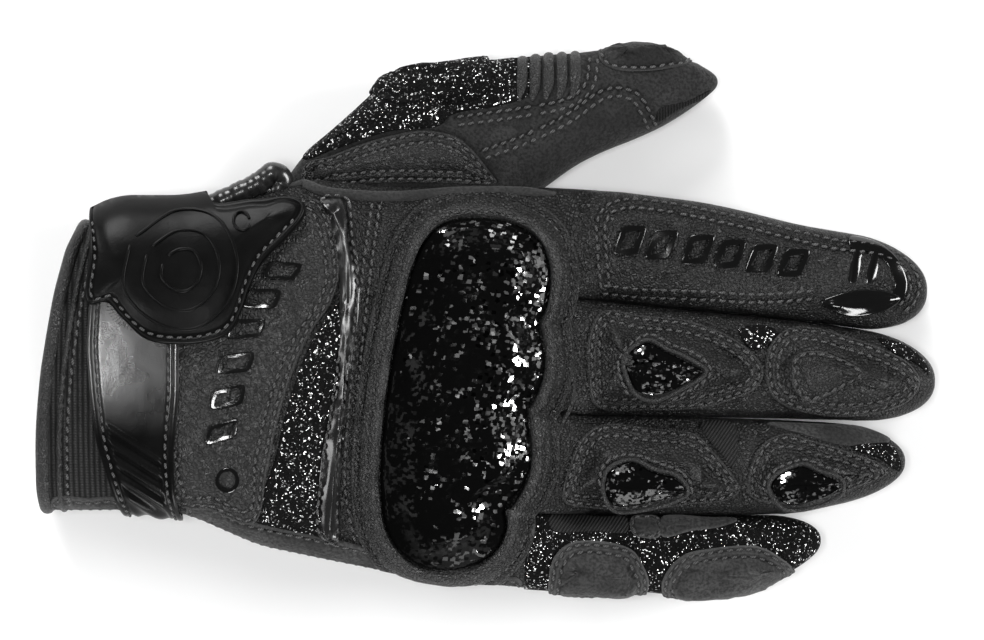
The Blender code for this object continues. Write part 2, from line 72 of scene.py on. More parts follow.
# Driving dimensions
WALL = 1.4  # leather and lining together
FLOOR = 1.9  # height of the palm leather above the surface that the glove lies on
SQUARENESS = 2.6  # of a section: 2 is an ellipse
KNUCKLE_REACH = 8.5  # how far each side of a knuckle the skin bends
WRIST_BEND = (-42.0, -66.0)  # the skin follows the hand before the first and the cuff after the second
STITCH_PITCH = 2.7
STITCH_LENGTH = 1.9
STITCH_RADIUS = 0.38
SKIN_STEP = 0.75
BODY_COUNT, DIGIT_COUNT = 330, 120  # points round a section
SIDE_LIMIT = 0.985  # of the half width: as far out as a piece is laid on the falling side
RIPPLE_HEIGHT = 0.11
SEAM_DEPTH, SEAM_WIDTH = 0.42, 0.7
SEAM_PUFF, PUFF_PLACE = 0.12, 2.1  # the leather beside a seam, and how far from it that is highest
KNIT_END, KNIT_LOW = -98, 18  # the cuff's back is knit before this x and above this height
BODY_PALM, DIGIT_PALM = 12, 9  # below these heights the skins have the palm's material
TUBE_SIDES = 12
SHARP_ANGLE = math.radians(40)
# the pointiness range of both the pale worn edges and the painted crease shade
WEAR_AND_SHADE_REACH = 0.06  # of the pointiness round its middle of 0.5


# ---------------------------------------------------------------- curves


def smooth(t):
    t = np.clip(t, 0, 1)
    return t * t * (3 - 2 * t)


def rounded(x, points, width=4.0):
    """The line through the points at x, its corners rounded over width to each side."""
    px, py = np.array(sorted(points), float).T
    offsets = np.linspace(-width, width, 9)
    return np.mean([np.interp(x + s, px, py) for s in offsets], axis=0)


def trace(points, step, closed=False):
    """Points about a step apart on a smooth curve through the given ones."""
    p = np.array(points, float)
    if closed:
        p = np.vstack([p[-1:], p, p[:2]])
    else:
        p = np.vstack([2 * p[0] - p[1], p, 2 * p[-1] - p[-2]])
    knots = np.concatenate([[0], np.cumsum(np.linalg.norm(np.diff(p, axis=0), axis=1) ** 0.5)])
    t = np.linspace(0, 1, 20, endpoint=False)[:, None]
    spans = []
    for i in range(1, len(p) - 2):
        a, b, c, d = p[i - 1 : i + 3]
        ta, tb, tc, td = knots[i - 1 : i + 3]
        leave = (c - b) * (tb - ta) / (tc - ta) + (b - a) * (tc - tb) ** 2 / (tb - ta) / (tc - ta)
        arrive = (c - b) * (td - tc) / (td - tb) + (d - c) * (tc - tb) ** 2 / (td - tc) / (td - tb)
        spans.append(
            (2 * t**3 - 3 * t**2 + 1) * b
            + (t**3 - 2 * t**2 + t) * leave
            + (3 * t**2 - 2 * t**3) * c
            + (t**3 - t**2) * arrive
        )
    fine = np.vstack(spans + [p[-2:-1]])
    along = np.concatenate([[0], np.cumsum(np.linalg.norm(np.diff(fine, axis=0), axis=1))])
    count = max(6, round(along[-1] / step))
    at = np.linspace(0, along[-1], count, endpoint=not closed)
    return np.stack([np.interp(at, along, fine[:, k]) for k in range(p.shape[1])], axis=1)


def beside(path, distance):
    """The path moved sideways in plan, to the left of its direction."""
    run = np.gradient(path[:, :2], axis=0)
    run /= np.linalg.norm(run, axis=1)[:, None]
    return path[:, :2] + distance * np.stack([-run[:, 1], run[:, 0]], axis=1)


def unit(v):
    return v / np.maximum(np.linalg.norm(v, axis=-1, keepdims=True), 1e-9)


# ---------------------------------------------------------------- how pieces move


def joint_zone(name, before, after):
    """Two points in metres, before and after a joint, across which fabric bends."""
    x, y, z = JOINTS[name]["pos_m"]
    ax, ay, _ = JOINTS[name]["axis"]
    length = math.hypot(ax, ay)
    dx, dy = ay / length, -ax / length
    return tuple((x + s * MM * dx, y + s * MM * dy, z) for s in (-before, after))


def joint_move(name, before, after):
    start, end = joint_zone(name, before, after)
    return JOINTS[name]["parent"], JOINTS[name]["child"], start, end


MOVES = {
    "hand": ("hand",),
    "cuff": ("cuff",),
    "flap": ("strap_flap",),
    "body": ("hand", "cuff", (WRIST_BEND[0] * MM, 0, 0), (WRIST_BEND[1] * MM, 0, 0)),
    "thumb_root": ("hand", "thumb_base", (-0.022, 0.0415, 0), (-0.011, 0.0562, 0)),
    "thumb_tip": ("thumb_base", "thumb_tip", (0.0125, 0.0594, 0), (0.0250, 0.0615, 0)),
}
for finger in ("index", "middle", "ring", "little"):
    MOVES[finger + "_root"] = joint_move(finger + "_knuckle", KNUCKLE_REACH, KNUCKLE_REACH)
    MOVES[finger + "_tip"] = joint_move(finger + "_middle_joint", 6.5, 9.5)


def moved_by(piece, move):
    bodies = MOVES[move]
    if len(bodies) == 1:
        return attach(piece, bodies[0])
    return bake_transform(piece)


# ---------------------------------------------------------------- forms


def ripple(x, y):
    """The slow unevenness of soft leather, in millimetres."""
    waves = ((0.31, 0.12, 0.4), (-0.17, 0.36, 2.1), (0.09, -0.44, 4.0), (0.52, 0.27, 1.2), (-0.4, 0.6, 5.5))
    return RIPPLE_HEIGHT * sum(np.sin(a * x + b * y + c) for a, b, c in waves)


class Form:
    """A tube of leather along X. outer and inner are its two side lines in plan, top its height, and it
    closes in a rounded end between cap and end. A root continues the wider trunk from x = front."""

    def __init__(self, outer, inner, top, cap=None, end=None, trunk=None, front=0.0, square=SQUARENESS,
                 wave=1.0):
        self.outer, self.inner, self.top_line = outer, inner, top
        self.cap, self.end = cap, end
        self.trunk, self.front, self.square, self.wave = trunk, front, square, wave

    def section(self, x):
        """At x: the middle and half width in plan, the height of the middle, and the shrink of the end."""
        left, right = rounded(x, self.outer), rounded(x, self.inner)
        shrink = np.ones_like(x)
        if self.end:
            past = np.clip((x - self.cap) / (self.end - self.cap), 0, 1)
            shrink = (1 - past**2.2) ** (1 / 2.2)
        centre = FLOOR + 0.45 * (rounded(x, self.top_line) - FLOOR)
        return (left + right) / 2, (left - right) / 2 * shrink, centre, shrink

    def rooted(self, x):
        """From 1 where the root still is the trunk's own surface to 0 where the digit is free of it."""
        return 1 - smooth((x - self.front) / 16) if self.trunk else np.zeros_like(x)

    def squareness(self, x):
        return self.square + 14 * self.rooted(x) ** 2

    def crest(self, x, y):
        """The height that the back would have at x, y without the falling sides."""
        _, _, centre, shrink = self.section(x)
        own = centre + (rounded(x, self.top_line) + self.wave * ripple(x, y) - centre) * shrink**0.8
        if self.trunk:
            w = self.rooted(x)
            own = own * (1 - w) + self.trunk.skin(x, y) * w
        return own

    def fall(self, x, y):
        mid, half, _, _ = self.section(x)
        n = self.squareness(x)
        u = np.clip(np.abs(y - mid) / np.maximum(half, 0.01), 0, 0.9995)
        return (1 - u**n) ** (1 / n)

    def skin(self, x, y, side=1):
        """The height of the back at x, y, or of the palm where side is -1."""
        _, _, centre, shrink = self.section(x)
        fall = self.fall(x, y)
        if side > 0:
            return centre + (self.crest(x, y) - centre) * fall
        return centre - (centre - FLOOR - 0.3 * ripple(x, y)) * shrink**0.8 * fall

    def place(self, x, c, s):
        """Points on the surface, where c and s run round the section as a squared-off cosine and sine."""
        mid, half, centre, shrink = self.section(x)
        y = mid + half * c
        up = (self.crest(x, y) - centre) * s
        down = (centre - FLOOR - 0.3 * ripple(x, y)) * shrink**0.8 * s
        return np.stack([x, y, centre + np.where(s > 0, up, down)], axis=-1)

    def on(self, plan, lift=0.0, side=1):
        """Points of the plan laid on the skin and lifted off it, with the skin's own directions there."""
        x, y = plan[..., 0], plan[..., 1]
        mid, half, _, _ = self.section(x)
        y = mid + np.clip(y - mid, -SIDE_LIMIT * half, SIDE_LIMIT * half)
        h = 0.4
        slope_x = (self.skin(x + h, y, side) - self.skin(x - h, y, side)) / (2 * h)
        slope_y = (self.skin(x, y + h, side) - self.skin(x, y - h, side)) / (2 * h)
        normal = unit(np.stack([-slope_x, -slope_y, np.ones_like(x)], axis=-1) * side)
        points = np.stack([x, y, self.skin(x, y, side)], axis=-1)
        return points + normal * np.asarray(lift)[..., None], normal

    def ring(self, x, count):
        """c and s of count points round the section at x, twice as close on the back as on the palm."""
        n = self.squareness(np.array([x]))[0]
        a = np.linspace(0, 2 * math.pi, 1441)
        c = np.sign(np.cos(a)) * np.abs(np.cos(a)) ** (2 / n)
        s = np.sign(np.sin(a)) * np.abs(np.sin(a)) ** (2 / n)
        points = self.place(np.full_like(a, x), c, s)
        steps = np.linalg.norm(np.diff(points, axis=0), axis=1) * np.where(s[1:] > -0.02, 1, 0.5)
        along = np.concatenate([[0], np.cumsum(steps)])
        at = np.linspace(0, along[-1], count, endpoint=False)
        return np.interp(at, along, c), np.interp(at, along, s)

    def grid(self, stations, count, shift=None):
        """Points of the skin at each station, count round it, with x shifted by shift(x, y)."""
        rings = np.array([self.ring(x, count) for x in stations])
        c, s = rings[:, 0], rings[:, 1]
        x = np.repeat(stations[:, None], count, axis=1)
        if shift:
            mid, half, _, _ = self.section(x)
            x = x + shift(x, mid + half * c)
        return self.place(x, c, s), s


def knuckle_front(y):
    """The x at which the finger skins begin, along the slanted row of knuckles."""
    row = [
        (JOINTS[f + "_knuckle"]["pos_m"][1] / MM, JOINTS[f + "_knuckle"]["pos_m"][0] / MM - KNUCKLE_REACH)
        for f in ("index", "middle", "ring", "little")
    ]
    return rounded(y, row, 6.0)


MOUTH = [(27, -112.4), (22.8, -115.5), (6, -119.5), (-13.6, -122.6), (-30.4, -124), (-50, -124.3),
         (-54, -123.5)]
BODY_START, BODY_FRONT = -124.5, 19.1
THUMB_START = -60.0

BODY = Form(
    outer=[(-125, 27), (-112, 27), (-104, 31.5), (-86, 31.5), (-70, 34.5), (-62, 37), (-54, 39.5),
           (-45, 39.5), (-30, 38.5), (9, 37.8), (40, 36.5)],
    inner=[(-126, -52.5), (-100, -52.5), (-84, -54), (-64.8, -62.6), (-45, -66.8), (-31, -69.6),
           (-14.4, -73.2), (2.4, -73.8), (19, -75.7), (28, -77), (40, -75.6)],
    top=[(-125, 35.5), (-100, 34), (-86, 32.5), (-54, 31), (-40, 30.5), (-10, 29.5), (9, 27.5), (28, 24),
         (40, 22)]
)
CUFF_FORM = Form(BODY.outer, BODY.inner, BODY.top_line, wave=0.0)
DIGITS = {
    "index": Form(
        outer=[(9, 37.8), (19.2, 37.4), (36, 36.3), (58.4, 33.5), (69.6, 31.2), (86.4, 27), (103.2, 24.2),
               (123, 20.5)],
        inner=[(9, 6.95), (30.4, 5.95), (58.4, 3.2), (75.2, 1.6), (92, -0.3), (106, -2.4), (123, -3.7)],
        top=[(19, 25), (36, 22.5), (70, 21), (95, 19), (123, 16)], cap=102, end=122.4, trunk=BODY,
        front=19.1, square=3.1
    ),
    "middle": Form(
        outer=[(9, 6.85), (30.4, 5.85), (58.4, 3.1), (75.2, 1.5), (92, -0.4), (106, -2.6), (125, -5.5)],
        inner=[(9, -24.4), (27.6, -26.2), (58.4, -26.8), (76, -27.1), (92, -27.5), (106, -27.9),
               (125, -28.1)],
        top=[(19, 25), (36, 22.5), (75, 21), (100, 19), (125, 16)], cap=104, end=124.7, trunk=BODY,
        front=19.1, square=3.1
    ),
    "ring": Form(
        outer=[(9, -24.5), (27.6, -26.3), (58.4, -26.9), (76, -27.5), (92, -28.2), (106, -29.3),
               (116, -30.6)],
        inner=[(9, -53.55), (30, -53.95), (69.6, -54.4), (86.4, -53.8), (100, -50.8), (116, -48)],
        top=[(15, 25), (32, 22), (68, 20.5), (92, 18), (116, 15.5)], cap=97, end=116.3, trunk=BODY,
        front=15.5, square=3.1
    ),
    "little": Form(
        outer=[(9, -53.65), (30, -54.05), (50, -54.3), (70, -54.5), (92, -54.2)],
        inner=[(9, -75), (19.2, -75.7), (27.6, -76.9), (34.6, -75.8), (44.4, -75.9), (50, -76.8),
               (58.4, -77.4), (66.8, -76.6), (72.4, -74.6), (83.6, -71.2), (92, -68.5)],
        top=[(9, 25), (26, 20.5), (48, 19.5), (70, 18), (92, 15)], cap=76, end=92.6, trunk=BODY, front=9.5,
        square=3.1
    ),
    "thumb": Form(
        outer=[(-61, 35.5), (-57, 41), (-54, 45.8), (-52, 47.5), (-41, 56.4), (-32.6, 64), (-29, 67.5),
               (-14.4, 71), (-4.6, 73), (5.2, 73), (15, 74.9), (24.8, 75.3), (33.2, 76.6), (38.8, 77.3),
               (44.4, 76.6), (57, 74.2), (64, 72.5)],
        inner=[(-61, 31), (-54, 33), (-40, 34), (-20, 32), (0, 32), (10, 34.5), (16.1, 38.2), (22, 43),
               (30.4, 47.4), (41.6, 51.7), (55.6, 58.5), (64, 62.5)],
        top=[(-61, 9), (-54, 13), (-44, 18), (-30, 20.5), (-5, 21.5), (15, 20.5), (40, 18.5), (64, 16)],
        cap=46, end=63.6
    )
}
CUTS = {"index": 52.0, "middle": 52.0, "ring": 48.0, "little": 32.0, "thumb": 12.5}


# ---------------------------------------------------------------- materials


class Look:
    """A material being built: its nodes, its shader, and the place on the piece in metres."""

    def __init__(self, name, colour, roughness, **fixed):
        self.material = bpy.data.materials.new(name)
        self.material.use_nodes = True
        self.tree = self.material.node_tree
        self.shader = self.tree.nodes["Principled BSDF"]
        self.shader.inputs["Base Color"].default_value = (*colour, 1)
        self.shader.inputs["Roughness"].default_value = roughness
        for socket, value in fixed.items():
            self.shader.inputs[socket.replace("_", " ")].default_value = value
        self.place = self.tree.nodes.new("ShaderNodeTexCoord").outputs["Object"]

    def node(self, kind, inputs, output=0, **settings):
        node = self.tree.nodes.new("ShaderNode" + kind)
        for name, value in settings.items():
            setattr(node, name, value)
        for name, value in inputs.items():
            if isinstance(value, bpy.types.NodeSocket):
                self.tree.links.new(value, node.inputs[name])
            else:
                node.inputs[name].default_value = value
        return node.outputs[output]

    def noise(self, size, detail=2.0):
        """Noise from 0 to 1 with features of about size millimetres."""
        return self.node("TexNoise", {"Vector": self.place, "Scale": 1 / (size * MM), "Detail": detail})

    def cells(self, size, feature="F1", output="Distance", where=None, **settings):
        inputs = {"Vector": where or self.place, "Scale": 1 / (size * MM)}
        return self.node("TexVoronoi", inputs, output, feature=feature, **settings)

    def stretched(self, sizes, turn=0.0):
        """The place with each axis measured in its own size, in millimetres, for ribs and weaves."""
        return self.node(
            "Mapping",
            {"Vector": self.place, "Rotation": (0, 0, turn), "Scale": [1 / (s * MM) for s in sizes]}
        )

    def bands(self, place):
        """Smooth bands from 0 to 1 along X of a stretched place, one for each unit."""
        x = self.node("SeparateXYZ", {"Vector": place}, "X")
        wave = self.node(
            "Math", {0: self.node("Math", {0: x, 1: 2 * math.pi}, operation="MULTIPLY")}, operation="SINE"
        )
        return self.between(wave, -1, 1, 0, 1)

    def between(self, value, low, high, to_low, to_high):
        inputs = {"Value": value, "From Min": low, "From Max": high, "To Min": to_low, "To Max": to_high}
        return self.node("MapRange", inputs)

    def mix(self, factor, a, b):
        a, b = (v if isinstance(v, bpy.types.NodeSocket) else (*v, 1) for v in (a, b))
        return self.node("Mix", {0: factor, 6: a, 7: b}, 2, data_type="RGBA")

    def times(self, a, b):
        return self.node("Math", {0: a, 1: b}, operation="MULTIPLY")

    def bump(self, height, depth, under=None):
        """A normal from a height of 0 to 1 that stands depth millimetres high."""
        inputs = {"Height": height, "Distance": depth * MM, "Strength": 1.0}
        if under is not None:
            inputs["Normal"] = under
        return self.node("Bump", inputs)

    def set(self, **sockets):
        for name, value in sockets.items():
            self.tree.links.new(value, self.shader.inputs[name.replace("_", " ")])
        return self.material

    def wear_and_painted_shade(self, colour, light=None):
        """The colour, near black in creases and along seams as painted shade, and paler where an edge or a
        fold stands out as wear.
        """
        point = self.node("NewGeometry", {}, "Pointiness")
        if light is not None:
            edge = self.between(point, 0.5 + WEAR_AND_SHADE_REACH / 3, 0.5 + WEAR_AND_SHADE_REACH, 0, 0.6)
            colour = self.mix(edge, colour, light)
        # painted shade: the colour goes to near black where the pointiness is low, in creases and along seams
        painted_crease_shade = self.between(point, 0.5 - WEAR_AND_SHADE_REACH, 0.5 - WEAR_AND_SHADE_REACH / 6, 0.9, 0)
        return self.mix(painted_crease_shade, colour, grey(0.001))


def grey(level):
    return level, level, level


def leather(name, level=0.013, grain=1.05, shine=0.42, depth=0.24, wear=True):
    """Pebbled leather with finer pores, slow creases, patches of tone and, where it wears, paler edges."""
    look = Look(name, grey(level), shine, Specular_IOR_Level=0.3)
    pebble = look.between(look.cells(grain, "DISTANCE_TO_EDGE"), 0.0, 0.3, 0, 1)
    fine = look.noise(grain * 0.35, 3)
    creases = look.noise(7, 4)
    patches = look.mix(
        look.between(look.noise(19, 3), 0.35, 0.65, 0, 1), grey(level * 0.72), grey(level * 1.3)
    )
    colour = look.mix(look.between(pebble, 0.05, 0.8, 0.95, 0), patches, grey(level * 0.1))
    normal = look.bump(fine, depth * 0.35, look.bump(creases, 0.35))
    rough = look.between(look.noise(3.2, 3), 0.3, 0.7, shine - 0.08, shine + 0.12)
    # painted shade: near black in concave creases and along seams; wear adds only the pale rubbed edges
    colour = look.wear_and_painted_shade(colour, grey(level * 3.2) if wear else None)
    return look.set(Base_Color=colour, Roughness=rough, Normal=look.bump(pebble, depth, normal))


def suede(name, level=0.020, wear=True):
    """Matt suede: a short nap, brushed in patches."""
    look = Look(name, grey(level), 0.95, Specular_IOR_Level=0.1, Sheen_Weight=0.1, Sheen_Roughness=0.5)
    nap = look.noise(0.8, 6)
    brushed = look.noise(3.4, 5)
    patches = look.mix(
        look.between(look.noise(11, 4), 0.35, 0.65, 0, 1), grey(level * 0.75), grey(level * 1.45)
    )
    colour = look.mix(look.between(nap, 0.38, 0.6, 0.85, 0), patches, grey(level * 0.4))
    # painted shade: near black in concave creases and along seams; wear adds only the pale edges
    colour = look.wear_and_painted_shade(colour, grey(level * 2) if wear else None)
    return look.set(Base_Color=colour, Normal=look.bump(nap, 0.4, look.bump(brushed, 0.5)))


def glitter(name, level):
    """A coarse stretch textile with bright lurex threads in a loose knit."""
    look = Look(name, grey(level), 0.6, Specular_IOR_Level=0.05)
    wander = look.node("TexNoise", {"Vector": look.place, "Scale": 900.0}, "Color")
    wander = look.node("VectorMath", {0: wander, 3: 0.0005}, operation="SCALE")
    cell = look.cells(0.38, output="Color", where=look.node("VectorMath", {0: look.place, 1: wander}))
    pick = look.node("SeparateColor", {"Color": cell}, "Red")
    gleam = look.node("SeparateColor", {"Color": cell}, "Blue")
    fleck = look.between(pick, 0.86, 0.9, 0, 1)
    loops = look.cells(0.55)
    threads = look.mix(look.noise(2.5), grey(level * 0.3), grey(level * 1.8))
    bright = look.mix(look.between(gleam, 0.35, 0.85, 0, 1), grey(0.03), grey(0.85))
    normal = look.bump(loops, 0.4, look.bump(look.noise(3), 0.3))
    return look.set(
        Base_Color=look.mix(fleck, threads, bright),
        Metallic=fleck,
        Roughness=look.between(fleck, 0, 1, 0.75, 0.25),
        Normal=normal,
    )


def knit(name, pitch=1.5, level=0.016, turn=0.0):
    """A fine rib knit: ribs across X, broken into loops of uneven yarn."""
    look = Look(name, grey(level), 0.85, Specular_IOR_Level=0.2)
    ribs = look.bands(look.stretched((pitch, pitch, pitch), turn))
    rows = look.bands(look.stretched((pitch * 0.5, pitch * 0.5, pitch * 0.5), turn + math.pi / 2))
    yarn = look.node("Math", {0: look.times(rows, 0.35), 1: look.times(look.noise(0.8, 3), 0.75)})
    loops = look.times(ribs, yarn)
    colour = look.mix(loops, grey(level * 0.15), grey(level * 2.6))
    normal = look.bump(look.noise(0.4, 3), 0.15, look.bump(loops, 0.6))
    return look.set(Base_Color=colour, Normal=normal)


def moulded(name, level=0.012, rough=0.34, coat=0.0, grain=0.5, shine=0.5, dull_from=None):
    """Moulded rubber or coated hide: a fine, even grain with faint flow marks, rubbed edges and painted shade
    in its creases. Where dull_from is given, in metres, the shine fades out below that Y, a painted shade
    that keeps the lower side dark."""
    look = Look(name, grey(level), rough, Specular_IOR_Level=shine, Coat_Weight=coat, Coat_Roughness=0.12)
    flow = look.between(look.noise(9, 4), 0.3, 0.7, rough - 0.05, rough + 0.08)
    colour = look.mix(look.noise(6, 3), grey(level * 0.75), grey(level * 1.25))
    normal = look.bump(look.noise(grain, 2), 0.025, look.bump(look.noise(5, 2), 0.08))
    if dull_from is not None:
        # painted shade: below dull_from the specular level falls, so the lower side of the piece reads dark
        y = look.node("SeparateXYZ", {"Vector": look.place}, "Y")
        fade = 0.016
        look.set(Specular_IOR_Level=look.between(y, dull_from - fade, dull_from, 0.1, shine))
    # painted shade: near black in concave creases; rubbed edges paler
    return look.set(Base_Color=look.wear_and_painted_shade(colour, grey(level * 3)), Roughness=flow, Normal=normal)


def carbon(name, size=1.2, tilt=0.34, shift=0.0):
    """Hammered black carbon: each small facet of the weave lies at its own angle, and some, mostly in
    clusters, are bare metal. The metal and the shine are raised towards the right as a painted highlight."""
    look = Look(name, grey(0.002), 0.13, Specular_IOR_Level=0.1)
    place = look.stretched((size, size * 0.8, size * 2), 0.12)
    cell = look.node(
        "TexVoronoi", {"Vector": place, "Scale": 1.0, "Randomness": 0.8}, "Color", distance="CHEBYCHEV"
    )
    lean = look.node("VectorMath", {0: cell, 1: (0.5, 0.5, 0.5)}, operation="SUBTRACT")
    lean = look.node("VectorMath", {0: lean, 3: tilt}, operation="SCALE")
    plain = look.node("NewGeometry", {}, "Normal")
    facet = look.node("VectorMath", {0: look.node("VectorMath", {0: plain, 1: lean})}, operation="NORMALIZE")
    pick = look.node("SeparateColor", {"Color": cell}, "Green")
    # painted highlight: more bare metal and a higher specular level towards the right, where the glints fall
    x = look.node("SeparateXYZ", {"Vector": look.place}, "X")
    left, right = -0.026, 0.014  # in metres: the metal is rarer and duller towards the left
    across = look.between(x, left, right, -0.28, 0.13)
    cluster = look.between(look.noise(8, 3), 0.35, 0.65, -0.16, 0.18)
    share = look.node("Math", {0: look.node("Math", {0: pick, 1: across}), 1: cluster})
    threshold = 0.82 - shift
    metal = look.between(share, threshold, threshold + 0.05, 0.0, 1.0)
    gleam = look.node("SeparateColor", {"Color": cell}, "Blue")
    bare = look.mix(look.between(gleam, 0.4, 0.9, 0, 1), grey(0.01), grey(0.8))
    shine = look.between(x, left, right, 0.015, 0.1)
    return look.set(
        Base_Color=look.mix(metal, grey(0.002), bare), Metallic=metal, Specular_IOR_Level=shine, Normal=facet
    )


def thread(name, level):
    """Twisted sewing thread."""
    look = Look(name, grey(level), 0.5, Specular_IOR_Level=0.35)
    twist = look.bands(look.stretched((0.5, 0.5, 0.5), 0.7))
    return look.set(
        Base_Color=look.mix(twist, grey(level * 0.4), grey(level * 2.6)), Normal=look.bump(twist, 0.06)
    )


def tufted(name, level, size, depth):
    """Hook-and-loop tape or fleece: a dense field of tiny tufts."""
    look = Look(name, grey(level), 0.9, Specular_IOR_Level=0.2, Sheen_Weight=0.1)
    tufts = look.cells(size)
    colour = look.mix(look.between(tufts, 0.1, 0.7, 0, 1), grey(level * 1.6), grey(level * 0.4))
    return look.set(Base_Color=colour, Normal=look.bump(tufts, depth, look.bump(look.noise(4), 0.2)))


def floor_look():
    look = Look("pale_floor", (0.93, 0.93, 0.93), 0.9, Specular_IOR_Level=0.1)
    tone = look.mix(look.noise(40, 2), (0.92, 0.92, 0.92), (0.94, 0.94, 0.94))
    return look.set(Base_Color=tone)


LEATHER = leather("black_leather", 0.024, 1.0, depth=0.5)
SKIN_LEATHER = leather("skin_leather", 0.016, 1.0, depth=0.42, wear=False)
SOFT_LEATHER = leather("soft_leather", 0.010, 0.85, 0.42, 0.16)
WRIST_LEATHER = leather("wrist_leather", 0.019, 1.1, 0.46, 0.24)
PALM_LEATHER = leather("palm_leather", 0.014, 0.9, 0.55, 0.14, wear=False)
SUEDE = suede("charcoal_suede", 0.022)
THUMB_SKIN = suede("thumb_suede", 0.022, wear=False)
PALE_SUEDE = suede("side_suede", 0.040)
GLITTER = glitter("glitter_stretch", 0.004)
RIB = knit("cuff_rib", 1.5, 0.02)
MESH = knit("fine_mesh", 0.85, 0.022, 0.6)
KNIT_DARK = knit("dark_knit", 0.8, 0.008)
GLOSS = moulded("gloss_print", 0.002, 0.1, 0.3, 0.5, 0.4)
# the strap's lower side is given painted shade through dull_from
STRAP = moulded("strap_hide", 0.003, 0.27, 0.0, 0.4, 1.0, dull_from=-0.016)
RUBBER = moulded("tab_rubber_look", 0.002, 0.34, 0.0, 0.5, 0.1)
PIPING = moulded("piping_hide", 0.007, 0.26, 0.12, 1.2, 0.45)
SLIDER = moulded("slider_plastic", 0.013, 0.45, 0.0, 0.8)
CARBON = carbon("hammered_carbon")
CARBON_DROP = carbon("insert_carbon", 0.9, 0.3, -0.16)
THREAD = thread("sewing_thread", 0.035)
LINING = tufted("fleece_lining", 0.012, 0.7, 0.3)
TUFTS = tufted("hook_and_loop_tape", 0.010, 0.9, 0.5)


# ---------------------------------------------------------------- meshes


CUSHION_SCALE = 0.1  # simulated with a millimetre as a tenth of a unit, where the solver keeps steady
CUSHION_FRAMES = 20
MOST_PUFF = 1.0


def inflated(points, faces, held, most):
    """The points after a short cloth simulation in which the pad fills and its free leather stretches.
    No point moves more than most millimetres, and the held ones stay where they are sewn down."""
    mesh = bpy.data.meshes.new("cushion")
    mesh.from_pydata((points * CUSHION_SCALE).tolist(), [], [list(map(int, face)) for face in faces])
    mesh.validate()
    cushion = bpy.data.objects.new("cushion", mesh)
    bpy.context.scene.collection.objects.link(cushion)
    cushion.vertex_groups.new(name="sewn").add(held.tolist(), 1.0, "REPLACE")
    cloth = cushion.modifiers.new("Cloth", "CLOTH")
    settings = cloth.settings
    settings.quality, settings.mass, settings.time_scale = 5, 0.15, 1.0
    settings.tension_stiffness = settings.compression_stiffness = 15.0
    settings.shear_stiffness, settings.bending_stiffness = 5.0, 0.4
    settings.vertex_group_mass = "sewn"
    settings.use_pressure, settings.uniform_pressure_force = True, 4.0
    settings.effector_weights.gravity = 0.0
    cloth.point_cache.frame_start, cloth.point_cache.frame_end = 1, CUSHION_FRAMES
    for step in range(1, CUSHION_FRAMES + 1):
        bpy.context.scene.frame_set(step)
    seen = cushion.evaluated_get(bpy.context.evaluated_depsgraph_get())
    moved = np.empty(len(points) * 3)
    seen.data.vertices.foreach_get("co", moved)
    bpy.data.objects.remove(cushion)
    bpy.context.scene.frame_set(1)
    shift = moved.reshape(-1, 3) / CUSHION_SCALE - points
    length = np.linalg.norm(shift, axis=1, keepdims=True)
    return points + shift * np.minimum(1, most / np.maximum(length, 1e-9))


def piece(name, points, faces, move, materials, replaces=(), normals=None, held=None):
    """A closed piece from points in millimetres, facing out, with its motion and the nodes it is for. Its
    slot is the one of its first material."""
    points = np.asarray(points, float)
    volume = 0.0
    halves = [f[:3] for f in faces], [[f[0], f[2], f[3]] for f in faces if len(f) == 4]
    for face in map(np.array, halves):
        if len(face):
            a, b, c = (points[face[:, k]] for k in range(3))
            volume += np.einsum("ij,ij->", a, np.cross(b, c))
    if volume < 0:
        faces = [face[::-1] for face in faces]
    if held is not None:
        points = inflated(points, faces, held, MOST_PUFF)
    mesh = bpy.data.meshes.new(name)
    mesh.from_pydata((points * MM).tolist(), [], [list(map(int, face)) for face in faces])
    mesh.validate()
    mesh.shade_smooth()
    if normals is None:
        mesh.set_sharp_from_angle(angle=SHARP_ANGLE)
    else:
        mesh.normals_split_custom_set_from_vertices(normals.tolist())
    for material in materials:
        mesh.materials.append(material)
    made = bpy.data.objects.new(name, mesh)
    bpy.context.scene.collection.objects.link(made)
    if replaces:
        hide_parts(*replaces)
    return moved_by(made, move)


def band(first, second, n):
    """Faces between two rings of n points that start at those indices."""
    j = np.arange(n)
    k = (j + 1) % n
    return np.stack([first + j, second + j, second + k, first + k], axis=1)


def loft(name, loops, move, material, ends="fill", **more):
    """A closed piece through loops of equal length: its ends are filled, or the last meets the first."""
    n = len(loops[0])
    faces = [band(i * n, (i + 1) * n, n) for i in range(len(loops) - 1)]
    if ends == "ring":
        faces.append(band((len(loops) - 1) * n, 0, n))
    faces = np.vstack(faces).tolist()
    if ends == "fill":
        faces.append(list(range(n)))
        faces.append(list(range(len(loops) * n - 1, (len(loops) - 1) * n - 1, -1)))
    return piece(name, np.vstack(loops), faces, move, [material], **more)


def grid_normals(points):
    """Outward normals of a grid of points that closes round its second axis."""
    along = np.gradient(points, axis=0)
    round_ = np.roll(points, -1, axis=1) - np.roll(points, 1, axis=1)
    normals = unit(np.cross(along, round_))
    centre = points.mean(axis=1, keepdims=True)
    return normals * np.sign(np.mean(np.einsum("ijk,ijk->ij", normals, points - centre)))


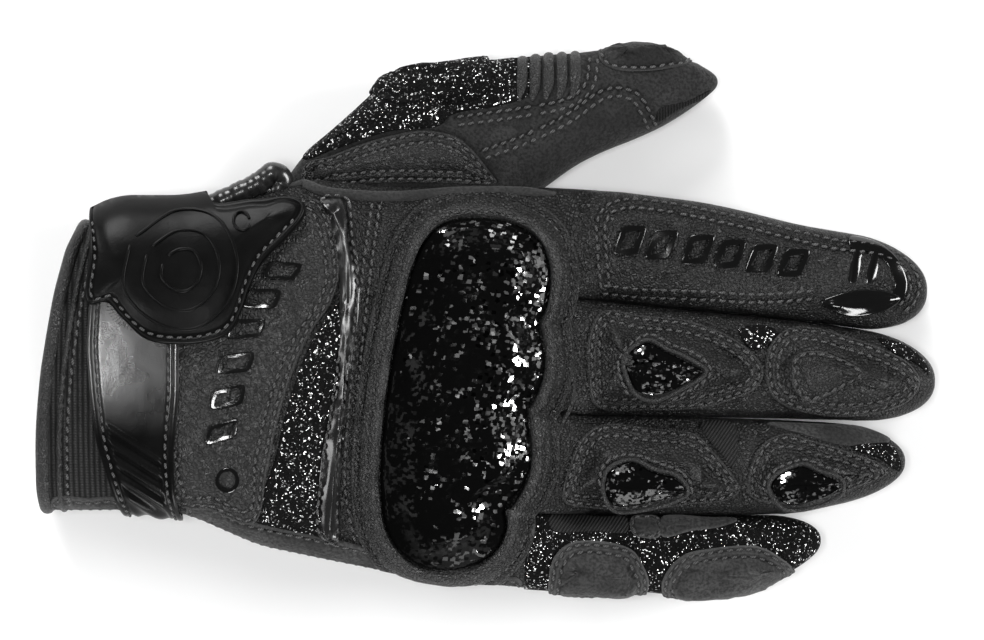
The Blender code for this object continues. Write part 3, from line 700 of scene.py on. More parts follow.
def shell(name, points, normals, wall, move, materials, tip=False, **more):
    """A tube with a wall: the grid outside, the same grid moved in by the wall inside, both ends closed.
    A tip ends in a point, so that the tube is a pocket. The inside has the lining's material."""
    rows, n = points.shape[:2]
    inside = points - normals * wall
    verts = [points.reshape(-1, 3), inside.reshape(-1, 3)]
    vert_normals = [normals.reshape(-1, 3), -normals.reshape(-1, 3)]
    second = rows * n
    faces = [band(i * n, (i + 1) * n, n) for i in range(rows - 1)]
    faces += [band(second + i * n, second + (i + 1) * n, n)[:, ::-1] for i in range(rows - 1)]
    faces.append(band(second, 0, n))
    if tip:
        last, last_inside = (rows - 1) * n, second + (rows - 1) * n
        verts.append(np.array([points[-1].mean(axis=0), inside[-1].mean(axis=0)]))
        ahead = unit(points[-1].mean(axis=0) - points[-2].mean(axis=0))
        vert_normals.append(np.array([ahead, -ahead]))
        j, k = np.arange(n), (np.arange(n) + 1) % n
        pole = 2 * second
        quads = np.vstack(faces).tolist()
        quads += np.stack([last + j, np.full(n, pole), last + k], axis=1).tolist()
        quads += np.stack([last_inside + k, np.full(n, pole + 1), last_inside + j], axis=1).tolist()
    else:
        faces.append(band((rows - 1) * n, second + (rows - 1) * n, n))
        quads = np.vstack(faces).tolist()
    looks, all_normals = [*materials, LINING], np.vstack(vert_normals)
    made = piece(name, np.vstack(verts), quads, move, looks, normals=all_normals, **more)
    inner = np.zeros(len(quads), int)
    inner[(rows - 1) * n : 2 * (rows - 1) * n] = len(materials)
    made.data.polygons.foreach_set("material_index", inner)
    return made


# ---------------------------------------------------------------- stitches

STITCH_SIDES = 6
# Where each ring of a stitch is along it, its size, and how deep it dips into the leather
STITCH_RINGS = ((-0.5, 0.25, 0.34), (-0.36, 0.85, 0.1), (0, 1.0, 0), (0.36, 0.85, 0.1), (0.5, 0.25, 0.34))
SEWN = {}  # the planned stitches of each move


def sew(move, points, normals, pitch=STITCH_PITCH):
    """Plans a row of stitches along the points, for the mesh of that move's thread."""
    along = np.concatenate([[0], np.cumsum(np.linalg.norm(np.diff(points, axis=0), axis=1))])
    if along[-1] < pitch:
        return
    at = np.arange(0.5, along[-1] / pitch) * pitch
    at = at[at < along[-1]]
    where = np.stack([np.interp(at, along, points[:, k]) for k in range(3)], axis=1)
    up = unit(np.stack([np.interp(at, along, normals[:, k]) for k in range(3)], axis=1))
    run = np.gradient(points, axis=0)
    run = unit(np.stack([np.interp(at, along, run[:, k]) for k in range(3)], axis=1))
    SEWN.setdefault(move, []).append((where, up, run))


def make_thread(move):
    """All the planned stitches of one move as one mesh of short twisted capsules with dipping ends."""
    where, up, run = (np.vstack(parts) for parts in zip(*SEWN[move]))
    side = unit(np.cross(up, run))
    rng = np.random.default_rng(len(where))
    skew = rng.normal(0, 0.09, (len(where), 1))
    run = unit(run + side * (skew + 0.16))
    side = unit(np.cross(up, run))
    lengths = STITCH_LENGTH * rng.uniform(0.88, 1.08, (len(where), 1))
    n = STITCH_SIDES
    sides = np.arange(n) * 2 * math.pi / n
    rings = []
    for t, size, drop in STITCH_RINGS:
        centre = where + run * lengths * t + up * (0.12 - drop)
        rings += [centre + STITCH_RADIUS * size * (math.cos(a) * side + math.sin(a) * up) for a in sides]
    points = np.stack(rings, axis=1)
    last = (len(STITCH_RINGS) - 1) * n
    quads = np.vstack([band(start, start + n, n) for start in range(0, last, n)])
    starts = np.arange(len(where))[:, None, None] * (last + n)
    faces = (quads[None] + starts).reshape(-1, 4).tolist()
    caps = np.stack([np.arange(n)[::-1], last + np.arange(n)])
    faces += (caps[None] + starts).reshape(-1, n).tolist()
    return piece("thread_" + move, points.reshape(-1, 3), faces, move, [THREAD])


def sew_on(form, move, path, lift=0.1, rows=(0.0,), side=1, split=None):
    """Stitches along a drawn line on a form's skin, one row at each distance beside it."""
    line = trace(path, 0.9)
    for row in rows:
        plan = beside(line, row) if row else line
        points, normals = form.on(plan, lift, side)
        if split is None:
            sew(move, points, normals)
            continue
        for part, end in ((points[:, 0] < split, "_root"), (points[:, 0] >= split, "_tip")):
            if part.sum() > 3:
                sew(move + end, points[part], normals[part])


# ---------------------------------------------------------------- padded pieces


def inward(edge, spine):
    """For each point of an outline, the vector to the nearest point of its spine."""
    line = trace(spine, 0.7) if len(spine) > 1 else np.array(spine, float)
    gaps = line[None] - edge[:, None]
    nearest = np.argmin(np.linalg.norm(gaps, axis=2), axis=1)
    return gaps[np.arange(len(edge)), nearest]


def pad(name, outline, spine, form, move, material, height=0.9, crown=0.0, margin=2.5, reach=6.0, edge=0.7,
        rows=(), hole=None, side=1, step=1.0, sink=0.45, fill=None, replaces=(), base=0.0, lip=0.0):
    """A closed panel on a form: a rounded edge, a flat sewn margin, then a crown towards its spine. hole is
    how wide a ring is, where it has an opening in its middle, and lip how high that opening's rim stands."""
    rim = trace(outline, step, closed=True)
    to_spine = inward(rim, spine)
    depth = np.linalg.norm(to_spine, axis=1)
    near = depth.min()
    steps = [0, 0.12, 0.3, 0.55, 0.9, 1.3, 1.75, 2.2, 2.7, 3.2, 3.8, 4.4, 5.1, 5.9, 6.8, 7.8]
    limit = hole if hole else min(margin + reach, 0.85 * near)
    steps = [d for d in steps if d < limit]

    def shape(d):
        rounding = np.sqrt(np.clip(1 - (1 - np.clip(d / edge, 0, 1)) ** 2, 0, 1))
        grooves = sum(0.42 * np.exp(-(((d - row) / 0.5) ** 2)) for row in rows)
        rolled = lip * np.exp(-(((d - (hole or 0) + 0.9) / 0.8) ** 2)) if hole else 0
        return base + height * rounding - grooves + crown * smooth((d - margin) / reach) + rolled

    def loop_at(share, d, sunk=False):
        plan = rim + to_spine * share[:, None]
        lift = np.full(len(rim), -sink) if sunk else shape(d)
        return form.on(plan, lift, side)[0]

    shares = [np.minimum(d / depth, 0.96) for d in steps]
    levels = [np.full(len(rim), float(d)) for d in steps]
    if hole:
        shares.append(hole / depth)
        levels.append(np.full(len(rim), float(hole)))
    else:
        last = shares[-1]
        for t in np.linspace(0, 1, max(3, int(depth.max() / 1.6)))[1:]:
            share = last + (0.97 - last) * t
            shares.append(share)
            levels.append(share * depth)
    top = [loop_at(share, d) for share, d in zip(shares, levels)]
    under = [loop_at(share, d, sunk=True) for share, d in zip(shares, levels)]
    if hole:
        loops = under[::-1] + top
    else:
        loops = under[::-2][:-1] + [under[0]] + top
    held = None
    if fill is not None:
        tight = [d.min() < margin + 0.3 for d in levels]
        fixed = [True] * (len(loops) - len(top)) + tight
        held = np.flatnonzero(np.repeat(fixed, len(rim)))
    ends = "ring" if hole else "fill"
    made = loft(name, loops, move, material, ends, replaces=replaces, held=held)
    for row in rows:
        share = np.minimum(row / depth, 0.9)
        path = np.vstack([rim + to_spine * share[:, None]] * 2)[: len(rim) + 1]
        points, normals = form.on(path, shape(np.full(len(path), float(row))) + 0.12, side)
        sew(move, points, normals)
    return made


def tube(name, points, normals, radius, move, material, closed=False, flat=1.0, **more):
    """A roll along 3-D points. radius may differ along it, and flat is its height over its width."""
    run = unit(np.gradient(points, axis=0))
    if closed:
        run = unit(np.roll(points, -1, axis=0) - np.roll(points, 1, axis=0))
    across = unit(np.cross(normals, run))
    up = np.cross(run, across)
    radius = np.broadcast_to(radius, len(points))[:, None, None]
    angles = (np.arange(TUBE_SIDES) * 2 * math.pi / TUBE_SIDES)[None, :, None]
    round_ = np.cos(angles) * across[:, None] + flat * np.sin(angles) * up[:, None]
    loops = list(points[:, None] + radius * round_)
    return loft(name, loops, move, material, "ring" if closed else "fill", **more)


def roll(name, path, form, move, radius, material, lift=0.2, taper=4.0, **more):
    """A tube along a drawn line on a form, thin at both ends."""
    step = 0.8
    plan = trace(path, step)
    along = np.linspace(0, 1, len(plan))
    ends = np.minimum(1, np.minimum(along, 1 - along) * len(plan) * step / taper + 0.12) ** 0.6
    size = radius * ends
    points, normals = form.on(plan, lift * size)
    return tube(name, points, normals, size, move, material, **more)


# ---------------------------------------------------------------- skins


def grooved(points, normals, back, lines):
    """The skin pulled in along its seams, with the leather puffed up a little beside them."""
    drawn = [trace(line, 0.8) for line in lines]
    tree = kdtree.KDTree(sum(len(line) for line in drawn))
    for i, (x, y) in enumerate(np.vstack(drawn)):
        tree.insert((x, y, 0), i)
    tree.balance()
    flat = points.reshape(-1, 3)
    far = np.array([tree.find((x, y, 0))[2] for x, y in flat[:, :2]]).reshape(back.shape)
    groove = SEAM_DEPTH * np.exp(-((far / SEAM_WIDTH) ** 2))
    puff = SEAM_PUFF * np.exp(-((far - PUFF_PLACE) ** 2))
    return points + normals * ((puff - groove) * smooth(back * 4))[..., None]


def stations(start, end, cap=None):
    """Places along X a step apart, closing up towards a rounded end."""
    if cap is None:
        return np.linspace(start, end, round((end - start) / SKIN_STEP))
    straight = np.linspace(start, cap, round((cap - start) / SKIN_STEP), endpoint=False)
    turn = np.linspace(0, math.pi / 2 * 0.985, round((end - cap) / SKIN_STEP) + 12)
    return np.concatenate([straight, cap + (end - cap) * np.sin(turn)])


def body_shift(x, y):
    """Slants the mouth of the cuff and the front of the hand."""
    mouth = rounded(y, MOUTH) - BODY_START
    front = knuckle_front(y) - BODY_FRONT
    return mouth * (1 - smooth((x - BODY_START) / 25)) + front * smooth((x + 15) / (BODY_FRONT + 15))


def make_body():
    """The skin of the hand and the cuff in one: leather on the back, knit at the cuff, palm leather below."""
    points, back = BODY.grid(stations(BODY_START, BODY_FRONT), BODY_COUNT, body_shift)
    points = grooved(points, grid_normals(points), back, [BOTTOM_EDGE, GUARD_SEAM])
    made = shell(
        "hand_and_cuff_skin", points, grid_normals(points), WALL, "body", [SKIN_LEATHER, RIB, PALM_LEATHER],
        replaces=("back_panel", "palm_panel", "little_side_panel", "index_side_panel", "hand_lining_back",
                  "hand_lining_palm", "cuff_back", "cuff_palm", "cuff_little_side", "cuff_thumb_side"),
    )
    for face in made.data.polygons:
        x, _, z = (v / MM for v in face.center)
        if face.material_index:
            continue
        if x < KNIT_END and z > KNIT_LOW:
            face.material_index = 1
        elif z < BODY_PALM:
            face.material_index = 2
    return points


def make_digit(name):
    """The root and the tip of a finger's or the thumb's skin, cut at its middle joint."""
    form, cut = DIGITS[name], CUTS[name]
    start = form.front if form.trunk else THUMB_START
    places = stations(start, form.end, form.cap)

    def shift(x, y):
        own = knuckle_front(np.full_like(y, float(form.section(np.array([start]))[0][0])))
        return (knuckle_front(y) - own) * (1 - smooth((x - start) / 12))

    points, back = form.grid(places, DIGIT_COUNT, shift if form.trunk else None)
    points = grooved(points, grid_normals(points), back, DIGIT_SEAMS[name])
    normals = grid_normals(points)
    at = int(np.searchsorted(places, cut))
    special = {"little": [GLITTER, THUMB_SKIN], "thumb": [THUMB_SKIN, THUMB_SKIN]}
    materials = special.get(name, [SKIN_LEATHER, PALM_LEATHER])
    parts = (("_root", slice(0, at + 1), False, "_base"), ("_tip", slice(at, None), True, "_tip"))
    for part, rows, tip, body in parts:
        made = shell(
            name + part + "_skin", points[rows], normals[rows], WALL, name + part, materials, tip=tip,
            replaces=(name + body + "_back", name + body + "_palm"),
        )
        for face in made.data.polygons:
            if not face.material_index and face.center.z / MM < DIGIT_PALM:
                face.material_index = 1


# Lines and outlines, drawn in plan
GUARD = [(-12.2, 27.6), (2.4, 27.9), (13, 22.5), (16.1, 15), (15.5, 5.5), (13, -0.6), (14.7, -10),
         (13.6, -17), (9.9, -24.4), (10.7, -32), (10.5, -41), (8, -46.5), (3.8, -51), (4, -57.5),
         (0.7, -64), (-6, -67.8), (-14.4, -68.8), (-22.8, -66), (-29, -58.1), (-30.8, -46), (-29.6, -26),
         (-26.6, -6), (-22.5, 12), (-19, 21.5)]
GUARD_SPINE = [(-3, 12), (-8, -20), (-13, -52)]
BOTTOM_EDGE = [(-84, -49.5), (-66, -55), (-48, -59), (-31, -63), (-15, -67.5)]
GUARD_SEAM = [(-31, 33), (-34, 10), (-37, -20), (-38.5, -45), (-36, -60)]
KNUCKLE_SEAM = [(31.2, 30.7), (29.5, 22.8), (27.6, 8.8), (25.3, 4.6), (26.2, -10), (26.2, -22), (22.5, -30.4),
                (19.2, -44.4), (15, -55.6), (13.6, -66.8)]
INDEX_PANEL = [(30.5, 9), (29.5, 20), (29.5, 28), (32, 32.2), (37.5, 34), (47, 33.4), (69.5, 29), (95, 23),
               (110, 20.8), (116.5, 17), (119.6, 11.5), (118.8, 6), (114.5, 2)]
INDEX_LOW = [(30.5, 8), (41.5, 6.8), (58.5, 6.2), (75, 5.4), (90.5, 6.4)]
THUMB_SEAM = [(-10, 57), (8, 59.5), (22, 62.6), (26.2, 66.5), (27.5, 74)]
THUMB_LOW = [(-3, 47.5), (8, 51.5), (20.5, 57.5), (30.5, 64.3), (35.5, 65.3), (41, 63.4), (44, 59), (46, 55)]
GUSSET_TOP = [(-52, 44), (-45, 46.3), (-37, 49.3), (-28.5, 51.8), (-18.5, 53.3), (-10, 51.5), (-5.5, 48),
              (-1.5, 43), (1.5, 38.6)]
NAIL_SEAM = [(31, 73.2), (34.5, 70.6), (41, 70), (49, 71), (56, 73.4)]
DIGIT_SEAMS = {
    "index": [INDEX_PANEL, INDEX_LOW, beside(trace(INDEX_PANEL, 2), -2.4).tolist()],
    "middle": [[(27.6, 4.5), (60, 2.4), (100, -2)], [(27.6, -25), (60, -25.6), (100, -27)]],
    "ring": [[(27.6, -28), (58, -29)], [(27.6, -52.6), (80, -53.2)]],
    "little": [[(15, -66), (40, -61)]],
    "thumb": [THUMB_SEAM, THUMB_LOW, GUSSET_TOP, NAIL_SEAM],
}


def make_guard():
    pad("knuckle_guard_shell", GUARD, GUARD_SPINE, BODY, "hand", CARBON, height=2.2, edge=2.0, crown=5.2,
        margin=0.4, reach=12, step=1.2, base=0.2, replaces=("knuckle_guard",))
    outer = beside(trace(GUARD, 2.5, closed=True), 8.2)
    pad("guard_surround_pad", outer.tolist(), GUARD_SPINE, BODY, "hand", LEATHER, height=0.9, crown=1.3,
        margin=2.0, reach=4, rows=(2.6, 5.3), hole=8.0, lip=0.9, step=1.0, fill=0.7,
        replaces=("knuckle_surround", "knuckle_foam"))


def make_back():
    pad("wrist_leather_panel",
        [(-88, 30), (-72, 31), (-57, 33), (-48, 33.5), (-44, 26), (-42, 13), (-44, 6), (-50, -3), (-55, -14),
         (-59, -27), (-62, -41), (-66, -56), (-78, -52.5), (-88, -50)],
        [(-76, 15), (-72, -10), (-74, -36)], BODY, "body", WRIST_LEATHER, height=0.8, crown=0.7,
        margin=4, reach=8, rows=(1.5, 3.9), replaces=("wrist_panel",))
    pad(
        "stretch_glitter_panel",
        [(-41, 6), (-50, -6), (-56, -22), (-60, -38), (-65, -56.6), (-56, -59.5), (-46, -60), (-44, -40),
         (-40, -20), (-38, 0)],
        [(-43.5, -8), (-49, -28), (-54, -50)], BODY, "body", GLITTER, height=0.35, crown=0.9, margin=2,
        reach=4, replaces=("stretch_panel",)
    )
    pad(
        "wrist_piping_roll",
        [(-48, 34.5), (-44.5, 27), (-42.3, 14.5), (-42.2, -2.5), (-45, -22), (-47.8, -41.5), (-48.5, -59),
         (-43, -62), (-42, -44.5), (-40.5, -27.5), (-38.6, -11), (-36.6, 3), (-36.6, 14.5), (-37.8, 23),
         (-40, 34.5)],
        [(-43, 29), (-40, 22), (-39.4, 8), (-40, -6), (-42, -22), (-44.3, -41), (-45.3, -57)], BODY, "hand",
        PIPING, height=1.0, edge=1.0, crown=1.5, margin=0.2, reach=2.4, rows=(0.9,), step=0.8,
        replaces=("wrist_piping",), fill=0.8
    )
    roll(
        "thumb_side_ridge",
        [(-57, 42), (-52, 38.5), (-47, 36.2), (-37, 35), (-25.5, 34.8), (-11.5, 36), (-3, 36.4), (8, 36.2),
         (18, 35.6)],
        BODY, "body", 1.7, SUEDE, lift=0.1, flat=0.7, taper=9
    )
    pad(
        "little_side_suede",
        [(-84, -49.8), (-66, -55.6), (-48, -59.6), (-31, -63.8), (-15, -68.4), (-2, -71.4), (8, -72),
         (8, -78), (-14, -78), (-31, -75), (-48, -71), (-66, -66), (-84, -58)],
        [(-78, -54), (-60, -60), (-30, -69), (2, -75)], BODY, "body", PALE_SUEDE, height=0.6, rows=(1.4,),
        margin=1.5
    )
    sew_on(BODY, "hand", GUARD_SEAM, 0.1, rows=(0, -2.2))
    for start in (0.0, 2.8, 5.6):
        line = [(x - 3.6 - start, y) for x, y in KNUCKLE_SEAM if y < 30]
        roll(f"flex_fold_{int(start * 10)}", line, BODY, "hand", 0.55, LEATHER, lift=-0.4, flat=0.6, taper=20)


def teardrop(name, outline, form, move, replaces, spine):
    """A glossy carbon drop in a pad's rolled leather opening."""
    lifted = 4.7 if name.endswith("base") else 4.1
    pad(
        name + "_carbon_drop", outline, spine, form, move, CARBON_DROP, height=0.7, edge=0.7, crown=1.5,
        margin=0.2, reach=4, step=0.7, base=lifted, sink=-lifted + 0.9, replaces=replaces
    )
    rim = beside(trace(outline, 0.8, closed=True), 0.9)
    points, normals = form.on(rim, lifted + 0.55)
    tube(name + "_carbon_rim", points, normals, 0.62, move, SOFT_LEATHER, closed=True, flat=0.9)
    ring = beside(trace(outline, 0.8, closed=True), 2.5)
    ring = np.vstack([ring, ring[:1]])
    mid, half, _, _ = form.section(ring[:, 0])
    inside = np.abs(ring[:, 1] - mid) < 0.6 * half
    points, normals = form.on(ring, lifted + 0.35)
    for part in np.split(np.arange(len(ring)), np.flatnonzero(np.diff(inside)) + 1):
        if inside[part[0]] and len(part) > 3:
            sew(move, points[part], normals[part], 2.3)


FINGER_PANEL = dict(height=0.9, margin=3.9, reach=5, rows=(1.3, 3.5), fill=0.7)
FINGER_SUEDE = dict(height=1.0, crown=2.0, margin=3.4, reach=4, rows=(1.2, 3.2), fill=0.6)
THIN_PATCH = dict(height=0.4, step=0.7)


def make_finger_pads():
    index, middle, ring, little = (DIGITS[f] for f in ("index", "middle", "ring", "little"))
    pad(
        "middle_base_padded_panel",
        [(30.5, 2.6), (41.5, 1.6), (55.5, 0), (67, -4.5), (73, -9), (76, -14), (74, -18.5), (68, -21.5),
         (58.5, -24), (44.5, -24.6), (29, -23.5), (27, -16.5), (27, -4)],
        [(38, -11), (64, -13.5)], middle, "middle_root", LEATHER, crown=4.0, **FINGER_PANEL
    )
    teardrop(
        "middle_base",
        [(37, -13.5), (38.5, -9), (42.5, -6.5), (47, -8), (53, -11), (58, -13.6), (53, -16.5), (46, -19),
         (40, -18.3)],
        middle, "middle_root", ("middle_base_insert",), [(42.5, -12.8), (50, -13.4)]
    )
    pad(
        "middle_tip_padded_panel",
        [(77, -8), (82, -2.4), (88, -1.6), (100.5, -4.6), (110, -8), (117, -12), (120, -17), (117, -22),
         (110, -25), (96, -26.4), (82, -23.5), (77.5, -19.5)],
        [(86, -12.5), (110, -16.5)], middle, "middle_tip", LEATHER, crown=3.0, replaces=("middle_tip_pad",),
        **FINGER_PANEL
    )
    drop = [(83.5, -15), (84.5, -10), (89.5, -8.5), (96, -10), (103.5, -14.5), (97, -18.5), (88, -21.5),
            (84.5, -19)]
    pad("middle_tip_drop", drop, [(88.5, -14.6), (97, -14.4)], middle, "middle_tip", LEATHER, height=0.5,
        crown=1.3, margin=1.0, reach=4, rows=(0.7,), base=2.6, sink=-1.4, step=0.7)
    pad(
        "ring_base_padded_panel",
        [(30.5, -29), (44.5, -29.8), (57, -31.6), (62.5, -37), (67.5, -43), (69.5, -47), (66, -49.6),
         (55.5, -51), (41.5, -52.4), (27.5, -51.8), (20, -50), (21.5, -40), (25, -32.5)],
        [(31, -40.5), (58, -44)], ring, "ring_root", LEATHER, crown=4.0, **FINGER_PANEL
    )
    teardrop(
        "ring_base",
        [(31, -45.6), (32.5, -41.3), (37.5, -39.3), (44.5, -41.6), (53.5, -45.8), (46, -48.6),
         (37.5, -49.6), (32.5, -48.5)],
        ring, "ring_root", ("ring_base_insert",), [(36, -45.2), (46, -46)]
    )
    pad("ring_tip_padded_panel",
        [(71.5, -46), (72.5, -39.5), (76.5, -33.5), (82, -31.5), (90.5, -33.5), (100.5, -36.5), (109, -40),
         (110.5, -42.4), (107, -44.4), (100.5, -46.8), (87, -50.6), (78, -50.6), (72.5, -49)],
        [(80, -42.5), (102, -42.8)], ring, "ring_tip", LEATHER, crown=3.0, **FINGER_PANEL)
    teardrop(
        "ring_tip",
        [(77.8, -46.4), (79.8, -42.8), (85, -41), (91, -42.4), (97, -45.2), (92.5, -47.8), (85.5, -49.4),
         (80.2, -48.8)],
        ring, "ring_tip", ("ring_tip_insert",), [(83, -45.4), (90, -45.3)]
    )
    pad(
        "little_base_suede_pad",
        [(16, -71), (17, -66.6), (20.5, -62.4), (27.5, -61), (39, -63.6), (42, -67.5), (44, -73), (42, -79),
         (28, -80), (17, -79)],
        [(24, -70.5), (36, -71)], little, "little_root", PALE_SUEDE, replaces=("little_base_pad",),
        **FINGER_SUEDE
    )
    pad("little_tip_suede_pad",
        [(47.5, -74), (49.5, -69), (54, -65), (60, -63.6), (74, -62.8), (80, -65.5), (85, -70.5), (78, -79),
         (62, -81), (50, -80)],
        [(57, -71.5), (74, -70)], little, "little_tip", PALE_SUEDE,
        replaces=("little_tip_pad",), **FINGER_SUEDE)
    pad(
        "little_mesh_panel",
        [(16, -54.2), (30.5, -54.6), (37.8, -54.9), (37.8, -58.8), (30.5, -58.6), (17, -58)],
        [(19, -56.2), (35, -56.8)], little, "little_root", MESH, height=0.35, step=0.7
    )
    pad("little_suede_strip", [(39, -55), (47, -55), (47, -60), (39.5, -59.4)], [(43, -57)], little,
        "little_root", PALE_SUEDE, height=0.6, step=0.7, rows=(0.8,))
    pad(
        "little_tip_suede_strip",
        [(47.4, -55), (60, -54.9), (69, -55.6), (64, -57.4), (55.5, -58.6), (47.6, -60)],
        [(50, -57.2), (62, -56.4)], little, "little_tip", PALE_SUEDE, height=0.6, step=0.7
    )
    pad("ring_mesh_panel", [(58.5, -28.6), (67.5, -28.6), (67.5, -41), (64.5, -37.5), (60, -32.5)],
        [(63.5, -31), (65, -34.5)], ring, "ring_root", MESH, height=0.35, step=0.7)
    pad("ring_side_suede", [(77, -28.6), (94, -28.8), (108, -30), (112, -33.4), (98, -34.6), (86, -31.2)],
        [(84, -29.8), (106, -32)], ring, "ring_tip", PALE_SUEDE, **THIN_PATCH)
    pad("ring_tip_glitter", [(100.5, -35), (111, -34), (114.6, -38.5), (114.6, -42), (108.5, -38.4)],
        [(107, -36), (112, -38.6)], ring, "ring_tip", GLITTER, **THIN_PATCH)
    pad("middle_joint_glitter", [(69, -2.4), (76, -1), (80, -3.2), (76.5, -7.2), (72, -7.5)],
        [(73, -4), (76.5, -4)], middle, "middle_tip", GLITTER, height=0.4, step=0.6)
    pad(
        "middle_tip_glitter",
        [(108, -4.8), (116, -6.6), (121.6, -11.5), (122.6, -15), (119, -12), (112, -8.6)],
        [(112, -6.6), (120, -12)], middle, "middle_tip", GLITTER, height=0.4, step=0.6
    )
    pad("index_tip_lens",
        [(92, 5.5), (96, 7.5), (103, 9), (110, 8.5), (114.5, 6.5), (111.5, 3.6), (106.5, 2), (100.5, 1.4),
         (95.5, 2.8)], [(98, 5), (108, 5.6)], index, "index_tip", GLOSS, height=0.7, crown=0.9, margin=0.3,
        reach=3, edge=0.5, step=0.7, replaces=("index_tip_insert",))
    sew_on(index, "index", INDEX_PANEL, rows=(0, -2.4), split=CUTS["index"])
    sew_on(index, "index", INDEX_LOW, rows=(0, 2.2), split=CUTS["index"])


BARS = 6  # along the index finger
BAR_START, BAR_STEP = (38.5, 22.6), (8.9, -1.25)
BAR_HALF_WIDTH, BAR_LEAN = 3.5, 1.4


def make_index_prints():
    """Raised glossy marks along the index finger and on its tip, in place of any lettering."""
    index = DIGITS["index"]
    for i in range(BARS):
        x = BAR_START[0] + i * BAR_STEP[0] + (1.2 if i >= 2 else 0)  # the first two stand a little apart
        y = BAR_START[1] + i * BAR_STEP[1]
        w, h, lean = BAR_HALF_WIDTH, 4.1 - 0.05 * i, BAR_LEAN
        outline = [(x - w - lean, y - h), (x - w + lean, y + h), (x + w + lean, y + h), (x + w - lean, y - h)]
        soft_corners = corner_cut(outline, 0.9)
        move = "index_root" if x < CUTS["index"] else "index_tip"
        pad(f"index_print_bar_{i + 1}", soft_corners, [(x, y)], index, move, GLOSS, height=0.6, edge=0.25,
            hole=1.9, step=0.5, sink=0.3, replaces=("index_base_pad",) if i == 0 else ())
    for i, (top, low) in enumerate((((102.8, 21.6), (100.6, 10.8)), ((107.6, 20), (105.6, 10.6)))):
        bar = [(low[0] - 1.1, low[1]), (top[0] - 1.1, top[1]), (top[0] + 1.3, top[1]), (low[0] + 1.3, low[1])]
        pad(
            f"index_tip_bar_{i + 1}", corner_cut(bar, 0.6), [low, top], index, "index_tip", GLOSS,
            height=0.28, edge=0.2, step=0.5, sink=0.3
        )
    arch = [(100.2, 23.6), (108.8, 21.8), (114.2, 16.7), (116.4, 10.4), (114.8, 5.6), (112, 6.4), (112.8, 11),
            (110.2, 16.5), (105.4, 19.4), (100.4, 20.6)]
    pad("index_tip_arch", arch, [(102, 21.8), (108, 19.6), (112.4, 15.6), (114.4, 10.4), (113.6, 7)], index,
        "index_tip", GLOSS, height=0.4, edge=0.3, step=0.5, sink=0.3)


def make_wrist_prints():
    """Raised glossy frames in a row down the wrist panel, and a plain round badge below them."""
    marks = [(-58, 13.8), (-63.6, 6.2), (-67.8, -2), (-70.8, -11.5), (-73, -21), (-74.6, -30.5)]
    w, h = 4.6, 2.7
    for i, (x, y) in enumerate(marks):
        turn = math.radians(62 + 4.5 * i)
        long_way, short_way = turn - 1.2, turn - 1.57
        outline = [
            (x + u * math.cos(long_way) - v * math.sin(short_way),
             y + u * math.sin(long_way) + v * math.cos(short_way))
            for u, v in ((-w, -h), (w, -h), (w, h), (-w, h))
        ]
        pad(f"wrist_print_bar_{i + 1}", corner_cut(outline, 0.9), [(x, y)], BODY, "body", GLOSS, height=0.3,
            edge=0.2, step=0.5, base=1.65, sink=-0.6, hole=1.3)
    angles = np.linspace(0, 2 * math.pi, 12, endpoint=False)
    x, y = -73.2, -43.6
    badge = [(x + 3.4 * math.cos(a), y + 3.6 * math.sin(a)) for a in angles]
    pad("wrist_round_badge", badge, [(x, y)], BODY, "cuff", GLOSS, height=0.4, edge=0.3, step=0.6,
        base=1.2, sink=-0.5, hole=1.2)


def corner_cut(outline, r):
    """The outline with each corner rounded by three points, the outer two r away from it."""
    out = []
    n = len(outline)
    for i in range(n):
        p, before, after = (np.array(outline[k % n], float) for k in (i, i - 1, i + 1))
        out += [tuple(p + unit(before - p) * r), tuple(p + unit(after - p) * r)]
        out.insert(-1, tuple((p + out[-1] + out[-2]) / 3))
    return out


